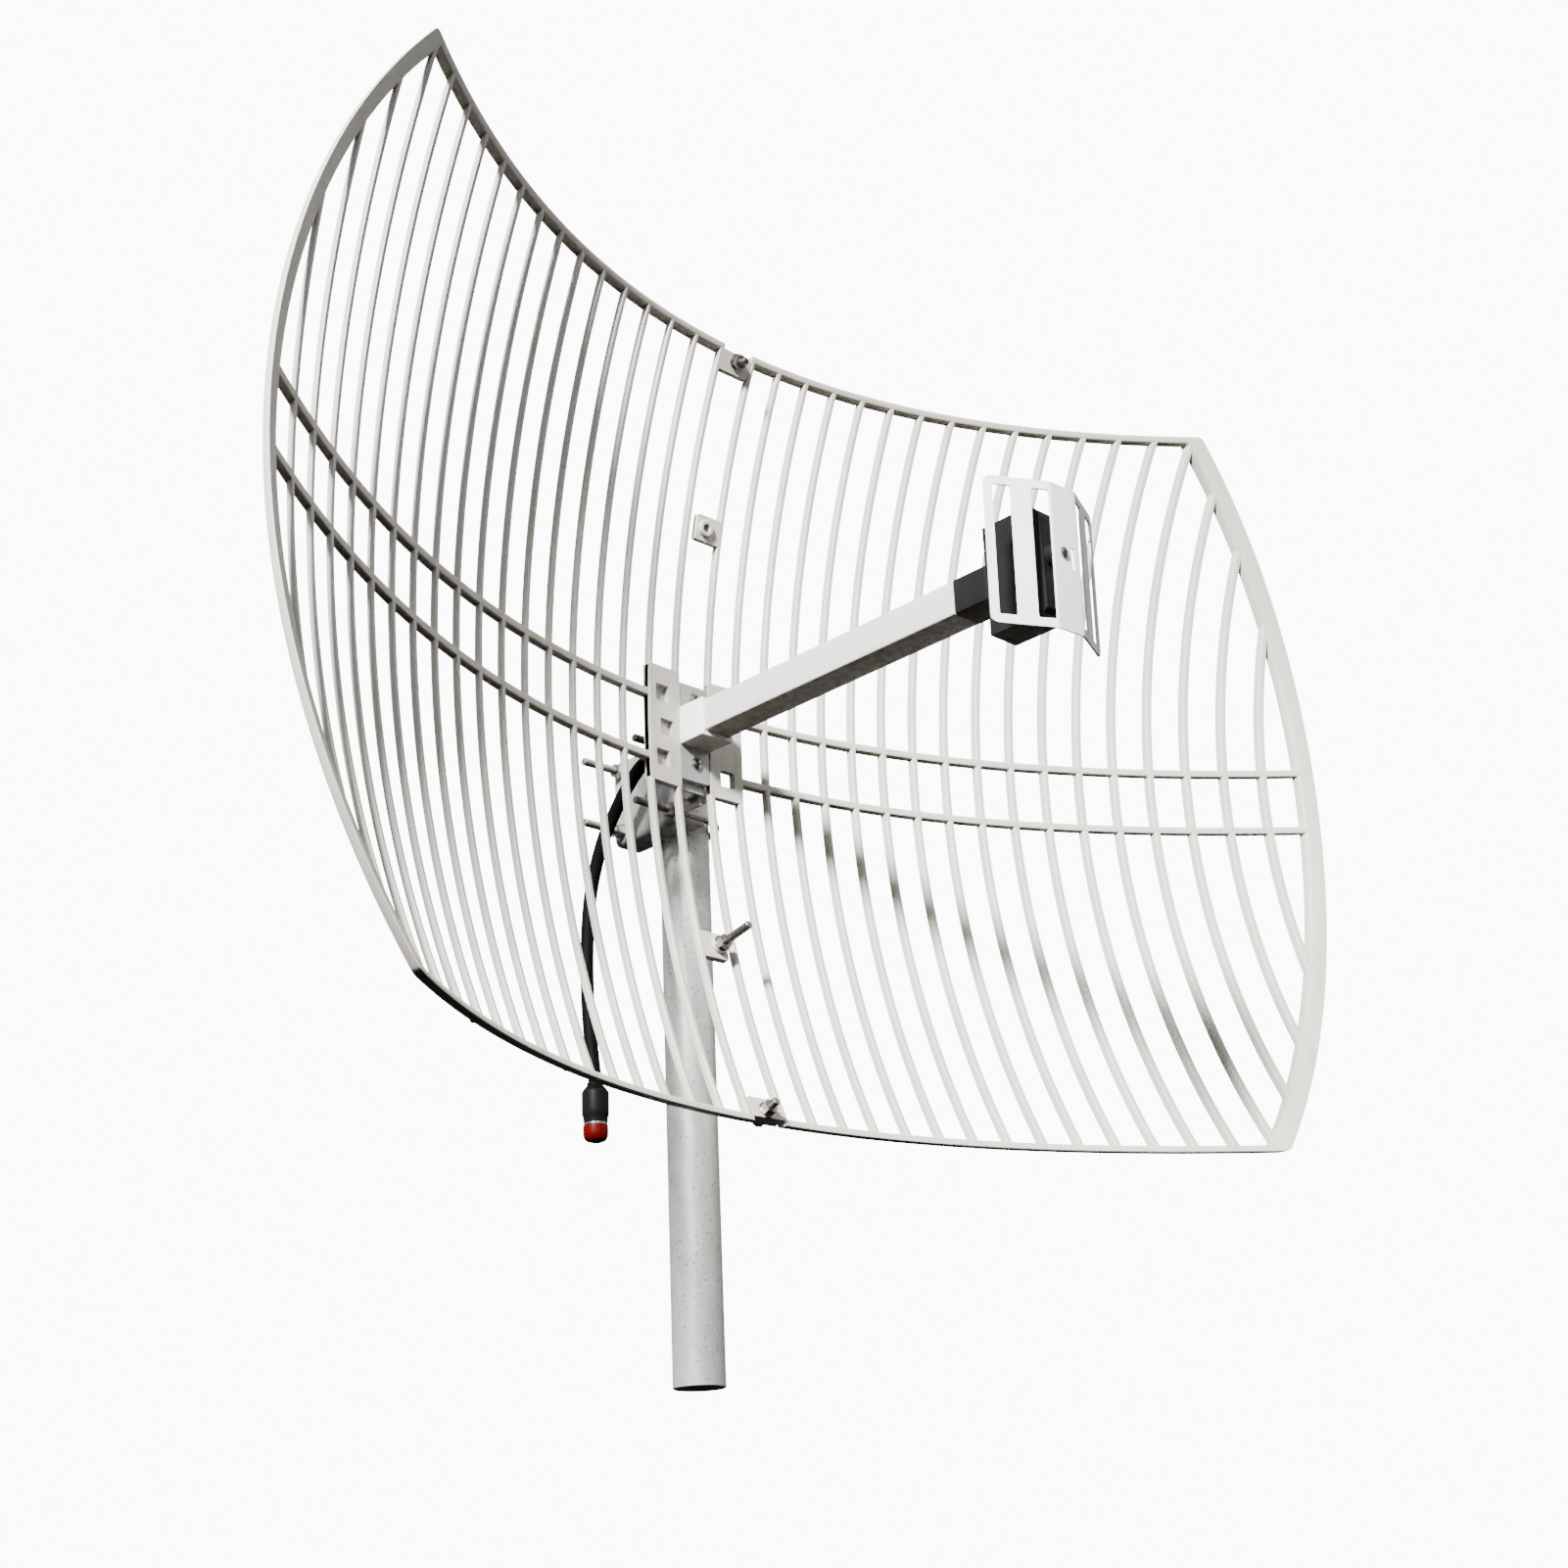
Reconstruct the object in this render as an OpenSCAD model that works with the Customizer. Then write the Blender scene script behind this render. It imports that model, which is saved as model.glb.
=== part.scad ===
// Grid parabolic antenna on a mast: two die-cast half grids bolted along a
// centre seam, a feed on a square arm, and a mast clamp with tilt and swivel.
// Millimetres, +Z up, boresight along -Y. The mast axis is the Z axis and the
// mast foot is at z = 0. Local "dish" coordinates start at the grid vertex.

/* [Reflector] */
// Radius of the rounded outer ends of the grid
rim_r = 495; // [450:5:540]
// Half height of the grid to the outside of the long rails
half_h = 304; // [270:0.5:330]
// Radius of the vertical arc through the vertex
arc_r = 735; // [650:5:850]
// Focal parameter of the horizontal section
focal_p = 569; // [500:1:650]
// Width of one grid bar
bar_w = 4; // [3:0.5:6]
// Depth of one grid bar
bar_d = 6; // [4:0.5:9]
// Height of the long rails
rail_h = 5.5; // [4:0.5:10]
// Depth of rails, ribs and end rails
rail_d = 7.5; // [6:0.5:10]
// Width of the curved end rails
end_w = 10; // [6:0.5:14]

/* [Hub] */
// Height of the hub plates
hub_h = 92; // [80:1:110]
// Height of the hub centre above the grid centre line
hub_z = 2.5; // [0:0.5:6]
// Side of the square holes in the hub plates
square_hole = 13; // [8:0.5:14]

/* [Feed] */
// Outer side of the square feed arm
arm_s = 25; // [20:1:32]
// Height of the arm axis above the vertex
arm_z = 7; // [0:0.5:12]
// Distance of the black sleeve from the vertex
sleeve_y = 273; // [240:1:320]
// Distance of the feed housing from the vertex
housing_y = 302; // [265:1:350]
// Distance of the small reflector centre from the vertex
focus_y = 359; // [320:1:400]

/* [Mast and clamp] */
// Outer radius of the mast
mast_r = 19; // [16:0.5:25]
// Length of the mast
mast_l = 485; // [480:5:900]
// Sheet thickness of both brackets
sheet_t = 3; // [2:0.5:4]

/* [Cable] */
// Outer radius of the cable
cable_r = 5; // [3:0.25:6]

/* [Hidden] */

// grid vertex in the frame of the whole part
vertex = [-53, -73, 460];
// gap kept between parts that slide over each other
slip = 0.3;
// number of bars in one half and the laws for their distance from the seam
bars = 18;
bar_first = 16.4;
bar_step = 27;
bar_shrink = 0.0453;
// ribs above and below the hub
rib_z = 25;
rib_h = 6;
// square holes in each hub plate, from its middle height, before any turn
left_holes = [[-31.5, 25], [-27, -1.5], [-31.5, -26.5]];
right_holes = [[-31.5, 29], [-31.5, -21.5]];
// fillet at the four corners of the grid
corner_r = 8;
// seam lugs
lug_t = 4;
lug_h = 19;
tab_z = 167;
tab_h = 20;
lug_z = 294.5;
boss_r = 6.5;
boss_h = 3;
// a flat washer on the hollow front of a lug bears on its rim
seat_gap = 0.05;
// fasteners
m6_r = 3;
m6_af = 10;
m6_nut = 5;
m6_head = 4;
washer_r = 6.5;
washer_t = 1.2;
hole_r = 3.2;
// mast seen from the vertex
mast_x = 53;
mast_y = 73;
// mast bracket: outer face of its web, edges and the two U-bolt heights
web_x = 15;
web_front = 9.5;
web_back = 110;
web_top = 19;
web_bottom = -51;
flange_edge = 38.5;
u_half = 30;
u_zs = [9, -41];
u_end = -22;
// tilt joint: pivot and lock bolt on the same vertical
tilt_y = 17;
tilt_z = 9;
lock_z = -37;
lock_arc = 46;
slot_from = -4.5;
slot_to = 11.5;
// tilt bracket
plate_y = 4;
side_x = web_x - slip - sheet_t;
plate_left = -40;
bend_r = 2;
// feed base block and its screws
base_w = 27;
base_z = [-35.5, 41.5];
base_front = -1;
base_screw_z = [31, -21];
collar_s = 30;
collar_drop = 1;
collar_y = -26;
arm_wall = 1.5;
// feed housing
housing_z = [-32, 46];
housing_l = 48;
housing_wall = 2;
// small reflector
sub_t = 1.5;
sub_flat = 12.2;
sub_wing = 46.5;
sub_angle = 25.5;
sub_h = 100;
sub_tilt = 4;
sub_roll = -3;
sub_drop = 2;
// screw of the small reflector, from the centre of the sheet in x and z
sub_screw = [-3.3, 3.4];
window_w = 11.5;
window_xs = [18.8, 43];
window_h = 88;
// cable gland and the route of the cable behind the dish
gland_z = 4;
gland_y = 24;
route = [[0, 24, 4], [0, 34, 1], [-2, 44, -2], [-4, 54, -5], [-6, 63, -13],
    [-8, 73, -25], [-9, 84, -39], [-10, 94, -54], [-10, 103, -72], [-10, 111, -96],
    [-10, 115, -126], [-10, 116, -160], [-10, 114, -196], [-10, 110, -226],
    [-10, 108, -241]];
route_steps = 3;
route_sides = 12;
plug_top = -241;
plug_y = 108;
plug_x = -10;

function bar_x(n) = bar_first + bar_step * n - bar_shrink * n * n;
function section_rho(u) = arc_r - u * u / (2 * focal_p);
function section_slope(z) = asin(z / arc_r);

module at_dish() {
    translate(vertex) children();
}

// ---------- generic fasteners, axis along +Z ----------
module hex_prism(af, h) {
    cylinder(d = af / cos(30), h = h, $fn = 6);
}

module hex_bolt(r, length, head) {
    translate([0, 0, -head]) hex_prism(m6_af, head);
    cylinder(r = r, h = length, $fn = 48);
}

module hex_nut(r, h) {
    difference() {
        hex_prism(m6_af, h);
        translate([0, 0, -1]) cylinder(r = r, h = h + 2, $fn = 48);
    }
}

module washer(r_in, r_out, t) {
    difference() {
        cylinder(r = r_out, h = t, $fn = 64);
        translate([0, 0, -1]) cylinder(r = r_in, h = t + 2, $fn = 48);
    }
}

// children's +Z points forward out of the grid at seam height z,
// their origin sits depth d behind the front face
module on_seam(z, d) {
    translate([0, -arc_r, 0])
        rotate([section_slope(z), 0, 0])
            translate([0, arc_r + d, 0])
                rotate([90, 0, 0]) children();
}

// ---------- reflector ----------
// curved sheet between two depths behind the front face, x from -500 to 20
module shell(d0, d1) {
    us = [for (i = [0 : 14]) -500 + i * 520 / 14];
    front = [for (u = us) [section_rho(u) + d0, u]];
    back = [for (i = [14 : -1 : 0]) [section_rho(us[i]) + d1, us[i]]];
    translate([0, -arc_r, 0])
        rotate([0, 90, 0]) rotate([0, 0, 55])
            rotate_extrude(angle = 70, $fn = 400)
                polygon(concat(front, back));
}

// curved strip of even depth across the seam
module seam_shell(d0, d1) {
    translate([0, -arc_r, 0])
        rotate([0, 90, 0]) rotate([0, 0, 55])
            rotate_extrude(angle = 70, $fn = 400)
                translate([arc_r + d0, -18]) square([d1 - d0, 36]);
}

module draw_through() {
    translate([0, 12, 0]) rotate([90, 0, 0])
        linear_extrude(height = 300) children();
}

// outline of the whole grid, drawn in x and z
module grid_outline(inset_side, inset_rail) {
    r = rim_r - inset_side;
    h = half_h - inset_rail;
    cr = corner_r - min(inset_side, corner_r - 2);
    cz = h - cr;
    cx = sqrt((r - cr) * (r - cr) - cz * cz);
    k = r / (r - cr);
    difference() {
        intersection() {
            circle(r = r, $fn = 720);
            square([2 * r, 2 * h], center = true);
        }
        for (sx = [-1, 1], sz = [-1, 1])
            polygon([[sx * cx, sz * cz], [sx * cx, sz * (h + 1)],
                [sx * (cx * k + 12), sz * (h + 1)],
                [sx * cx * (k + 0.02), sz * cz * (k + 0.02)]]);
    }
    for (sx = [-1, 1], sz = [-1, 1])
        translate([sx * cx, sz * cz]) circle(r = cr, $fn = 64);
}

// one half of the outline, left of the seam
module left_of(x) {
    intersection() {
        children();
        translate([-600, -400]) square([600 + x, 800]);
    }
}

module bar_pattern() {
    intersection() {
        grid_outline(2, 2);
        for (n = [0 : bars - 1])
            translate([-bar_x(n) - bar_w / 2, -400]) square([bar_w, 800]);
    }
}

module rail_pattern() {
    left_of(-bar_first + bar_w / 2) difference() {
        grid_outline(0, 0);
        grid_outline(end_w, rail_h);
    }
    for (s = [-1, 1])
        intersection() {
            grid_outline(2, 2);
            translate([-500, s * rib_z - rib_h / 2]) square([500 - 43, rib_h]);
        }
}

// hub plate between the first and second bar, seen from the front
module hub_pattern(lift, holes) {
    difference() {
        translate([-bar_x(1) - bar_w / 2, lift - hub_h / 2])
            square([bar_x(1) - bar_first + bar_w, hub_h]);
        for (hole = holes)
            translate([hole[0], lift + hole[1]])
                square([square_hole, square_hole], center = true);
    }
}

module half_grid(lift, holes) {
    difference() {
        union() {
            intersection() {
                shell(0, bar_d);
                draw_through() bar_pattern();
            }
            intersection() {
                shell(0, rail_d);
                draw_through() rail_pattern();
            }
        }
        translate([-bar_x(1) - 4, plate_y, lift - hub_h / 2 - 2])
            cube([bar_x(1) + 10, 12, hub_h + 4]);
        hub_screw_holes();
    }
    intersection() {
        shell(0, 12);
        difference() {
            translate([0, plate_y, 0]) rotate([90, 0, 0])
                linear_extrude(height = plate_y + 4) hub_pattern(lift, holes);
            hub_screw_holes();
        }
    }
    seam_lug(1, 0);
    seam_lug(-1, lug_t);
    seam_tab();
}

module hub_screw_holes() {
    for (z = [14, -9])
        translate([-38, -1, z]) rotate([-90, 0, 0])
            cylinder(r = 2.1, h = 12, $fn = 32);
}

// bolted lug at one end of the seam, d is its depth behind the front face
module seam_lug(side, d) {
    z0 = half_h - lug_h;
    difference() {
        intersection() {
            seam_shell(d, d + lug_t);
            draw_through()
                translate([-bar_first, side > 0 ? z0 : -half_h])
                    square([bar_first + 13.5, lug_h]);
        }
        on_seam(side * lug_z, 20) cylinder(r = hole_r, h = 40, $fn = 48);
    }
}

// free tab with a raised boss, part way down the seam
module seam_tab() {
    difference() {
        union() {
            intersection() {
                seam_shell(0, 5);
                draw_through()
                    translate([-bar_first, -tab_z - tab_h / 2])
                        square([bar_first + 8, tab_h]);
            }
            on_seam(-tab_z, 3) cylinder(r = boss_r, h = 3 + boss_h, $fn = 48);
        }
        on_seam(-tab_z, 20) cylinder(r = hole_r, h = 40, $fn = 48);
    }
}

module reflector_left() {
    color("WhiteSmoke") at_dish() half_grid(hub_z, left_holes);
}

// the other half is turned half a turn about the boresight
module reflector_right() {
    color("WhiteSmoke") at_dish() rotate([0, 180, 0]) half_grid(-hub_z, right_holes);
}

// depth of the back face and of the washer seat of each seam bolt
lug_stack = [[lug_z, 2 * lug_t, 0, 12], [-lug_z, 2 * lug_t, 0, 12],
    [-tab_z, 5, -boss_h, 31]];

module lug_bolts() {
    color("Silver") at_dish()
        for (s = lug_stack)
            on_seam(s[0], s[1]) hex_bolt(m6_r, s[1] - s[2] + s[3], m6_head);
}

module lug_washers() {
    color("Silver") at_dish()
        for (s = lug_stack)
            on_seam(s[0], s[2] - seat_gap) washer(m6_r, washer_r, washer_t);
}

module lug_nuts() {
    color("Silver") at_dish()
        for (s = lug_stack)
            on_seam(s[0], s[2] - seat_gap - washer_t) hex_nut(m6_r, m6_nut);
}

module hub_screws() {
    color("Silver") at_dish()
        for (z = [14, -9])
            translate([-38, plate_y + sheet_t, z]) rotate([90, 0, 0]) {
                cylinder(r = 2, h = 7.5, $fn = 32);
                translate([0, 0, -2.5]) cylinder(r = 3.8, h = 2.5, $fn = 48);
            }
}

// ---------- feed ----------
module square_tube(outer, inner, y0, y1) {
    translate([0, 0, arm_z]) difference() {
        translate([-outer / 2, y0, -outer / 2]) cube([outer, y1 - y0, outer]);
        translate([-inner / 2, y0 - 1, -inner / 2])
            cube([inner, y1 - y0 + 2, inner]);
    }
}

module feed_base() {
    color("WhiteSmoke") at_dish() {
        difference() {
            translate([-base_w / 2, base_front, base_z[0]])
                cube([base_w, plate_y - base_front, base_z[1] - base_z[0]]);
            for (z = base_screw_z)
                translate([0, 10, z]) rotate([90, 0, 0])
                    cylinder(r = 2.6, h = 30, $fn = 32);
            translate([0, 10, gland_z]) rotate([90, 0, 0])
                cylinder(r = 4, h = 30, $fn = 32);
        }
        feed_collar();
    }
}

// short square socket that the feed arm stands in
module feed_collar() {
    reach = base_front - collar_y;
    difference() {
        translate([-collar_s / 2, collar_y, arm_z - collar_drop - collar_s / 2])
            cube([collar_s, reach, collar_s]);
        translate([-arm_s / 2, collar_y - 1, arm_z - arm_s / 2])
            cube([arm_s, reach + 2, arm_s]);
    }
}

module feed_base_screws() {
    color("Silver") at_dish()
        for (z = base_screw_z)
            translate([0, base_front, z]) rotate([-90, 0, 0]) {
                cylinder(r = 2.5, h = 16, $fn = 32);
                translate([0, 0, -3]) cylinder(r = 4.5, h = 3, $fn = 48);
            }
}

module feed_base_nuts() {
    color("Silver") at_dish()
        for (z = base_screw_z)
            translate([0, plate_y + sheet_t, z]) rotate([-90, 0, 0])
                difference() {
                    hex_prism(8, 4);
                    translate([0, 0, -1]) cylinder(r = 2.5, h = 6, $fn = 32);
                }
}

module feed_arm() {
    color("Gainsboro") at_dish()
        square_tube(arm_s, arm_s - 2 * arm_wall, -sleeve_y, base_front);
}

module feed_coax() {
    color("DimGray") at_dish()
        translate([0, plate_y + sheet_t, gland_z]) rotate([90, 0, 0])
            cylinder(r = 3, h = housing_y + plate_y + sheet_t + 4, $fn = 32);
}

module feed_sleeve() {
    color("DimGray") at_dish() {
        square_tube(arm_s, 15, -housing_y, -sleeve_y);
        square_tube(arm_s - 2 * arm_wall, 15, -sleeve_y - 0.5, -sleeve_y + 13);
    }
}

// frame of the small reflector: origin in its centre, tilted and rolled
module at_focus() {
    translate([0, -focus_y, arm_z - sub_drop])
        rotate([sub_tilt, sub_roll, 0]) children();
}

module at_sub_screw() {
    at_focus() translate([sub_screw[0], 0, sub_screw[1]]) children();
}

// side view of the housing, the front top corner is rounded
module housing_profile(inset) {
    y0 = -housing_l + inset;
    z0 = housing_z[0] + inset;
    z1 = housing_z[1] - inset;
    r = 12;
    difference() {
        translate([y0, z0]) square([housing_l - 2 * inset, z1 - z0]);
        translate([y0 - 1, z1 - r]) square([r + 1, r + 1]);
    }
    intersection() {
        translate([y0 + r, z1 - r]) circle(r = r, $fn = 64);
        translate([y0, z1 - r]) square([r, r]);
    }
}

module housing_block(width, inset) {
    translate([-width / 2, -housing_y, 0]) rotate([90, 0, 90])
        linear_extrude(height = width) housing_profile(inset);
}

module feed_housing() {
    color("DimGray") at_dish() difference() {
        union() {
            housing_block(arm_s, 0);
            intersection() {
                at_sub_screw() translate([0, 15 + sub_t / 2, 0]) rotate([90, 0, 0])
                    cylinder(r = 7.5, h = 15, $fn = 64);
                translate([-20, -housing_y - housing_l - 20, -20])
                    cube([40, 21, 60]);
            }
        }
        housing_block(arm_s - 2 * housing_wall, housing_wall);
        translate([0, -housing_y + 5, gland_z]) rotate([90, 0, 0])
            cylinder(r = 3.2, h = 10, $fn = 32);
        at_sub_screw() translate([0, 9, 0]) rotate([90, 0, 0])
            cylinder(r = 1.6, h = 12, $fn = 32);
    }
}

// circuit board dipole, sealed inside the housing
module feed_dipole() {
    color("DarkGoldenrod") at_dish() {
        translate([-8, -housing_y - 5.6, -22]) cube([16, 1.6, 56]);
        for (z = [-16, 22])
            translate([-5, -housing_y - 4, z]) cube([10, 2, 6]);
    }
}

// top view of the bent sheet: flat centre and two wings swept back
module sub_section() {
    for (s = [-1, 1]) {
        translate([s > 0 ? 0 : -sub_flat, -sub_t / 2]) square([sub_flat, sub_t]);
        translate([s * sub_flat, 0]) rotate(s > 0 ? sub_angle : 180 - sub_angle)
            translate([0, -sub_t / 2]) square([sub_wing, sub_t]);
        translate([s * sub_flat, 0]) circle(d = sub_t, $fn = 24);
    }
}

// front view of one wing with its two windows and rounded outer corners
module sub_front() {
    x1 = sub_flat + sub_wing * cos(sub_angle);
    r = 5;
    difference() {
        translate([-x1 - 1, -sub_h / 2]) square([2 * x1 + 2, sub_h]);
        for (s = [-1, 1], t = [-1, 1])
            difference() {
                translate([s > 0 ? x1 - r : -x1 - 2, t > 0 ? sub_h / 2 - r : -sub_h / 2])
                    square([r + 2, r]);
                translate([s * (x1 - r), t * (sub_h / 2 - r)]) circle(r = r, $fn = 48);
            }
        for (s = [-1, 1], c = window_xs)
            translate([s * c, 0]) square([window_w, window_h], center = true);
        translate([6.5, 1]) square([2.6, 15], center = true);
        translate(sub_screw) circle(r = 1.8, $fn = 32);
    }
}

module sub_reflector() {
    color("White") at_dish() at_focus() intersection() {
        translate([0, 0, -sub_h / 2]) linear_extrude(height = sub_h) sub_section();
        translate([0, 40, 0]) rotate([90, 0, 0])
            linear_extrude(height = 80) sub_front();
    }
}

module sub_reflector_screw() {
    color("Silver") at_dish() at_sub_screw()
        translate([0, -sub_t / 2, 0]) rotate([-90, 0, 0]) {
            cylinder(r = 1.5, h = 9, $fn = 32);
            translate([0, 0, -2]) cylinder(r = 3.5, h = 2, $fn = 48);
        }
}

// ---------- tilt bracket, behind the hub ----------
module tilt_bracket() {
    back = 32;
    color("Silver") at_dish() difference() {
        union() {
            translate([plate_left, plate_y, -42])
                cube([side_x - bend_r - plate_left, sheet_t, 82]);
            translate([side_x, plate_y + sheet_t + bend_r, -48])
                cube([sheet_t, back - plate_y - sheet_t - bend_r, 72]);
            translate([side_x - bend_r, plate_y + sheet_t + bend_r, -42])
                rotate([0, 0, -90])
                    rotate_extrude(angle = 90, $fn = 64)
                        translate([bend_r, 0]) square([sheet_t, 66]);
        }
        for (z = base_screw_z)
            translate([0, 12, z]) rotate([90, 0, 0])
                cylinder(r = 2.6, h = 12, $fn = 32);
        for (z = [14, -9])
            translate([-38, 12, z]) rotate([90, 0, 0])
                cylinder(r = 2.1, h = 12, $fn = 32);
        translate([0, 12, gland_z]) rotate([90, 0, 0])
            cylinder(r = 4, h = 12, $fn = 32);
        at_pivot() translate([0, 0, side_x - 5])
            cylinder(r = m6_r + 0.05, h = 14, $fn = 64);
        lock_slot();
    }
}

// children's +Z runs along +X at the tilt pivot
module at_pivot() {
    translate([0, tilt_y, tilt_z]) rotate([0, 90, 0]) children();
}

// curved slot centred on the pivot, below it
module lock_slot() {
    at_pivot() translate([0, 0, side_x - 2]) {
        rotate([0, 0, slot_from])
            rotate_extrude(angle = slot_to - slot_from, $fn = 180)
                translate([lock_arc - hole_r, 0]) square([2 * hole_r, 10]);
        for (a = [slot_from, slot_to])
            rotate([0, 0, a]) translate([lock_arc, 0, 0])
                cylinder(r = hole_r, h = 10, $fn = 48);
    }
}

// ---------- mast clamp ----------
module web_outline() {
    difference() {
        polygon([[web_front, -44], [24, web_bottom], [web_back, web_bottom],
            [web_back, web_top], [web_front + 4, web_top],
            [web_front, web_top - 4]]);
        for (z = u_zs, s = [-1, 1])
            translate([mast_y + s * u_half, z]) circle(r = hole_r, $fn = 48);
        for (z = [tilt_z, lock_z])
            translate([tilt_y, z]) circle(r = m6_r + 0.05, $fn = 48);
    }
}

// flange with a toothed V that faces the mast, drawn in x and y
module flange_outline() {
    grip = mast_r + slip;
    apex = mast_x - grip / cos(30);
    deep = flange_edge - apex;
    teeth = 5;
    step = deep / teeth;
    upper = [for (i = [0 : 2 * teeth])
        let (dx = deep - i * step / 2, cut = i % 2 == 1 ? 1.5 : 0)
            [apex + dx - cut * cos(30), mast_y + (dx + cut / 2) / tan(30)]];
    lower = [for (i = [2 * teeth : -1 : 0])
        let (dx = deep - i * step / 2, cut = i % 2 == 1 ? 1.5 : 0)
            [apex + dx - cut * cos(30), mast_y - (dx + cut / 2) / tan(30)]];
    polygon(concat([[web_x, 34], [web_x, web_back], [flange_edge, web_back]],
        upper, lower, [[flange_edge, 34]]));
}

module mast_bracket() {
    color("Silver") at_dish() {
        translate([web_x, 0, 0]) rotate([90, 0, 90])
            linear_extrude(height = sheet_t) web_outline();
        for (z = [web_bottom, web_top - sheet_t])
            translate([0, 0, z])
                linear_extrude(height = sheet_t) flange_outline();
    }
}

module u_bolt() {
    reach = mast_x + mast_r + slip + m6_r;
    for (s = [-1, 1])
        translate([u_end, mast_y + s * u_half, 0]) rotate([0, 90, 0])
            cylinder(r = m6_r, h = reach - u_half - u_end, $fn = 48);
    translate([reach - u_half, mast_y, 0]) rotate([0, 0, -90])
        rotate_extrude(angle = 180, $fn = 180)
            translate([u_half, 0]) circle(r = m6_r, $fn = 48);
}

module u_bolts() {
    color("Silver") at_dish()
        for (z = u_zs) translate([0, 0, z]) u_bolt();
}

// children's +Z points away from the web along -X at each U-bolt leg
module at_legs(x) {
    for (z = u_zs, s = [-1, 1])
        translate([x, mast_y + s * u_half, z]) rotate([0, -90, 0]) children();
}

module u_bolt_washers() {
    color("Silver") at_dish() at_legs(web_x)
        washer(m6_r, washer_r, washer_t);
}

module u_bolt_nuts() {
    color("Silver") at_dish() at_legs(web_x - washer_t)
        rotate([0, 0, 15]) hex_nut(m6_r, m6_nut);
}

// bolt along +X through the tilt bracket and the web
module tilt_bolt(z) {
    start = side_x - slip - washer_t;
    translate([start, tilt_y, z]) rotate([0, 90, 0])
        hex_bolt(m6_r, 19, m6_head);
}

module pivot_bolt() {
    color("Silver") at_dish() tilt_bolt(tilt_z);
}

module lock_bolt() {
    color("Silver") at_dish() tilt_bolt(lock_z);
}

module tilt_washers() {
    color("Silver") at_dish()
        for (z = [tilt_z, lock_z], x = [side_x - slip - washer_t, web_x + sheet_t])
            translate([x, tilt_y, z]) rotate([0, 90, 0])
                washer(m6_r, washer_r, washer_t);
}

module tilt_nuts() {
    color("Silver") at_dish()
        for (z = [tilt_z, lock_z])
            translate([web_x + sheet_t + washer_t, tilt_y, z])
                rotate([0, 90, 0]) hex_nut(m6_r, m6_nut);
}

module mast_pipe() {
    color("Silver") difference() {
        cylinder(r = mast_r, h = mast_l, $fn = 128);
        translate([0, 0, -1]) cylinder(r = mast_r - 2, h = mast_l + 2, $fn = 128);
    }
}

// ---------- cable ----------
module cable_gland() {
    color("DimGray") at_dish()
        translate([0, plate_y + sheet_t, gland_z]) rotate([-90, 0, 0]) {
            hex_prism(13, 4);
            cylinder(r = 5.8, h = 13, $fn = 48);
            translate([0, 0, 13]) cylinder(r1 = 5.8, r2 = 5.4, h = 4, $fn = 48);
        }
}

// smooth curve through the route points
function catmull(a, b, c, d, t) = 0.5 * (2 * b + (c - a) * t
    + (2 * a - 5 * b + 4 * c - d) * t * t + (3 * b - a - 3 * c + d) * t * t * t);

function route_end(i) = i < 0 ? route[0] - [0, 8, 0]
    : i >= len(route) ? route[len(route) - 1] - [0, 0, 12] : route[i];

module cable() {
    last = len(route) - 1;
    path = [for (i = [0 : last - 1], k = [0 : route_steps - 1])
        catmull(route_end(i - 1), route_end(i), route_end(i + 1),
            route_end(i + 2), k / route_steps)];
    spine = concat(path, [route[last]]);
    n = len(spine);
    side = [1, 0, 0];
    rings = [for (i = [0 : n - 1])
        let (
            ahead = i == 0 ? [0, 1, 0] : i == n - 1 ? [0, 0, -1]
                : spine[i + 1] - spine[i - 1],
            dir = ahead / norm(ahead),
            up = cross(side, dir) / norm(cross(side, dir)),
            out = cross(dir, up))
        [for (k = [0 : route_sides - 1])
            let (a = 360 * k / route_sides)
                spine[i] + cable_r * (cos(a) * out + sin(a) * up)]];
    points = [for (ring = rings, p = ring) p];
    walls = [for (i = [0 : n - 2], k = [0 : route_sides - 1], h = [0, 1])
        let (
            a = i * route_sides + k,
            b = i * route_sides + (k + 1) % route_sides,
            c = a + route_sides,
            d = b + route_sides)
        h == 0 ? [a, b, d] : [a, d, c]];
    ends = [[for (k = [route_sides - 1 : -1 : 0]) k],
        [for (k = [0 : route_sides - 1]) (n - 1) * route_sides + k]];
    color("DimGray") at_dish() polyhedron(points, concat(walls, ends));
}

module on_plug(drop) {
    at_dish() translate([plug_x, plug_y, plug_top - drop])
        rotate([180, 0, 0]) children();
}

module connector_boot() {
    color("DimGray") on_plug(0) cylinder(r1 = 6, r2 = 9, h = 6, $fn = 64);
}

module connector_body() {
    color("DimGray") on_plug(6) {
        cylinder(r = 10, h = 18, $fn = 96);
        translate([0, 0, 18]) cylinder(r = 9, h = 8, $fn = 96);
    }
}

module dust_cap() {
    color("Red") on_plug(32) {
        cylinder(r = 9.2, h = 8, $fn = 96);
        translate([0, 0, 8]) cylinder(r1 = 9.2, r2 = 6.5, h = 4, $fn = 96);
    }
}

mast_pipe();
mast_bracket();
u_bolts();
u_bolt_nuts();
u_bolt_washers();
pivot_bolt();
lock_bolt();
tilt_nuts();
tilt_washers();
tilt_bracket();
reflector_left();
reflector_right();
lug_bolts();
lug_nuts();
lug_washers();
hub_screws();
feed_base();
feed_base_screws();
feed_base_nuts();
feed_arm();
feed_coax();
feed_sleeve();
feed_housing();
feed_dipole();
sub_reflector();
sub_reflector_screw();
cable_gland();
cable();
connector_boot();
connector_body();
dust_cap();
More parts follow.
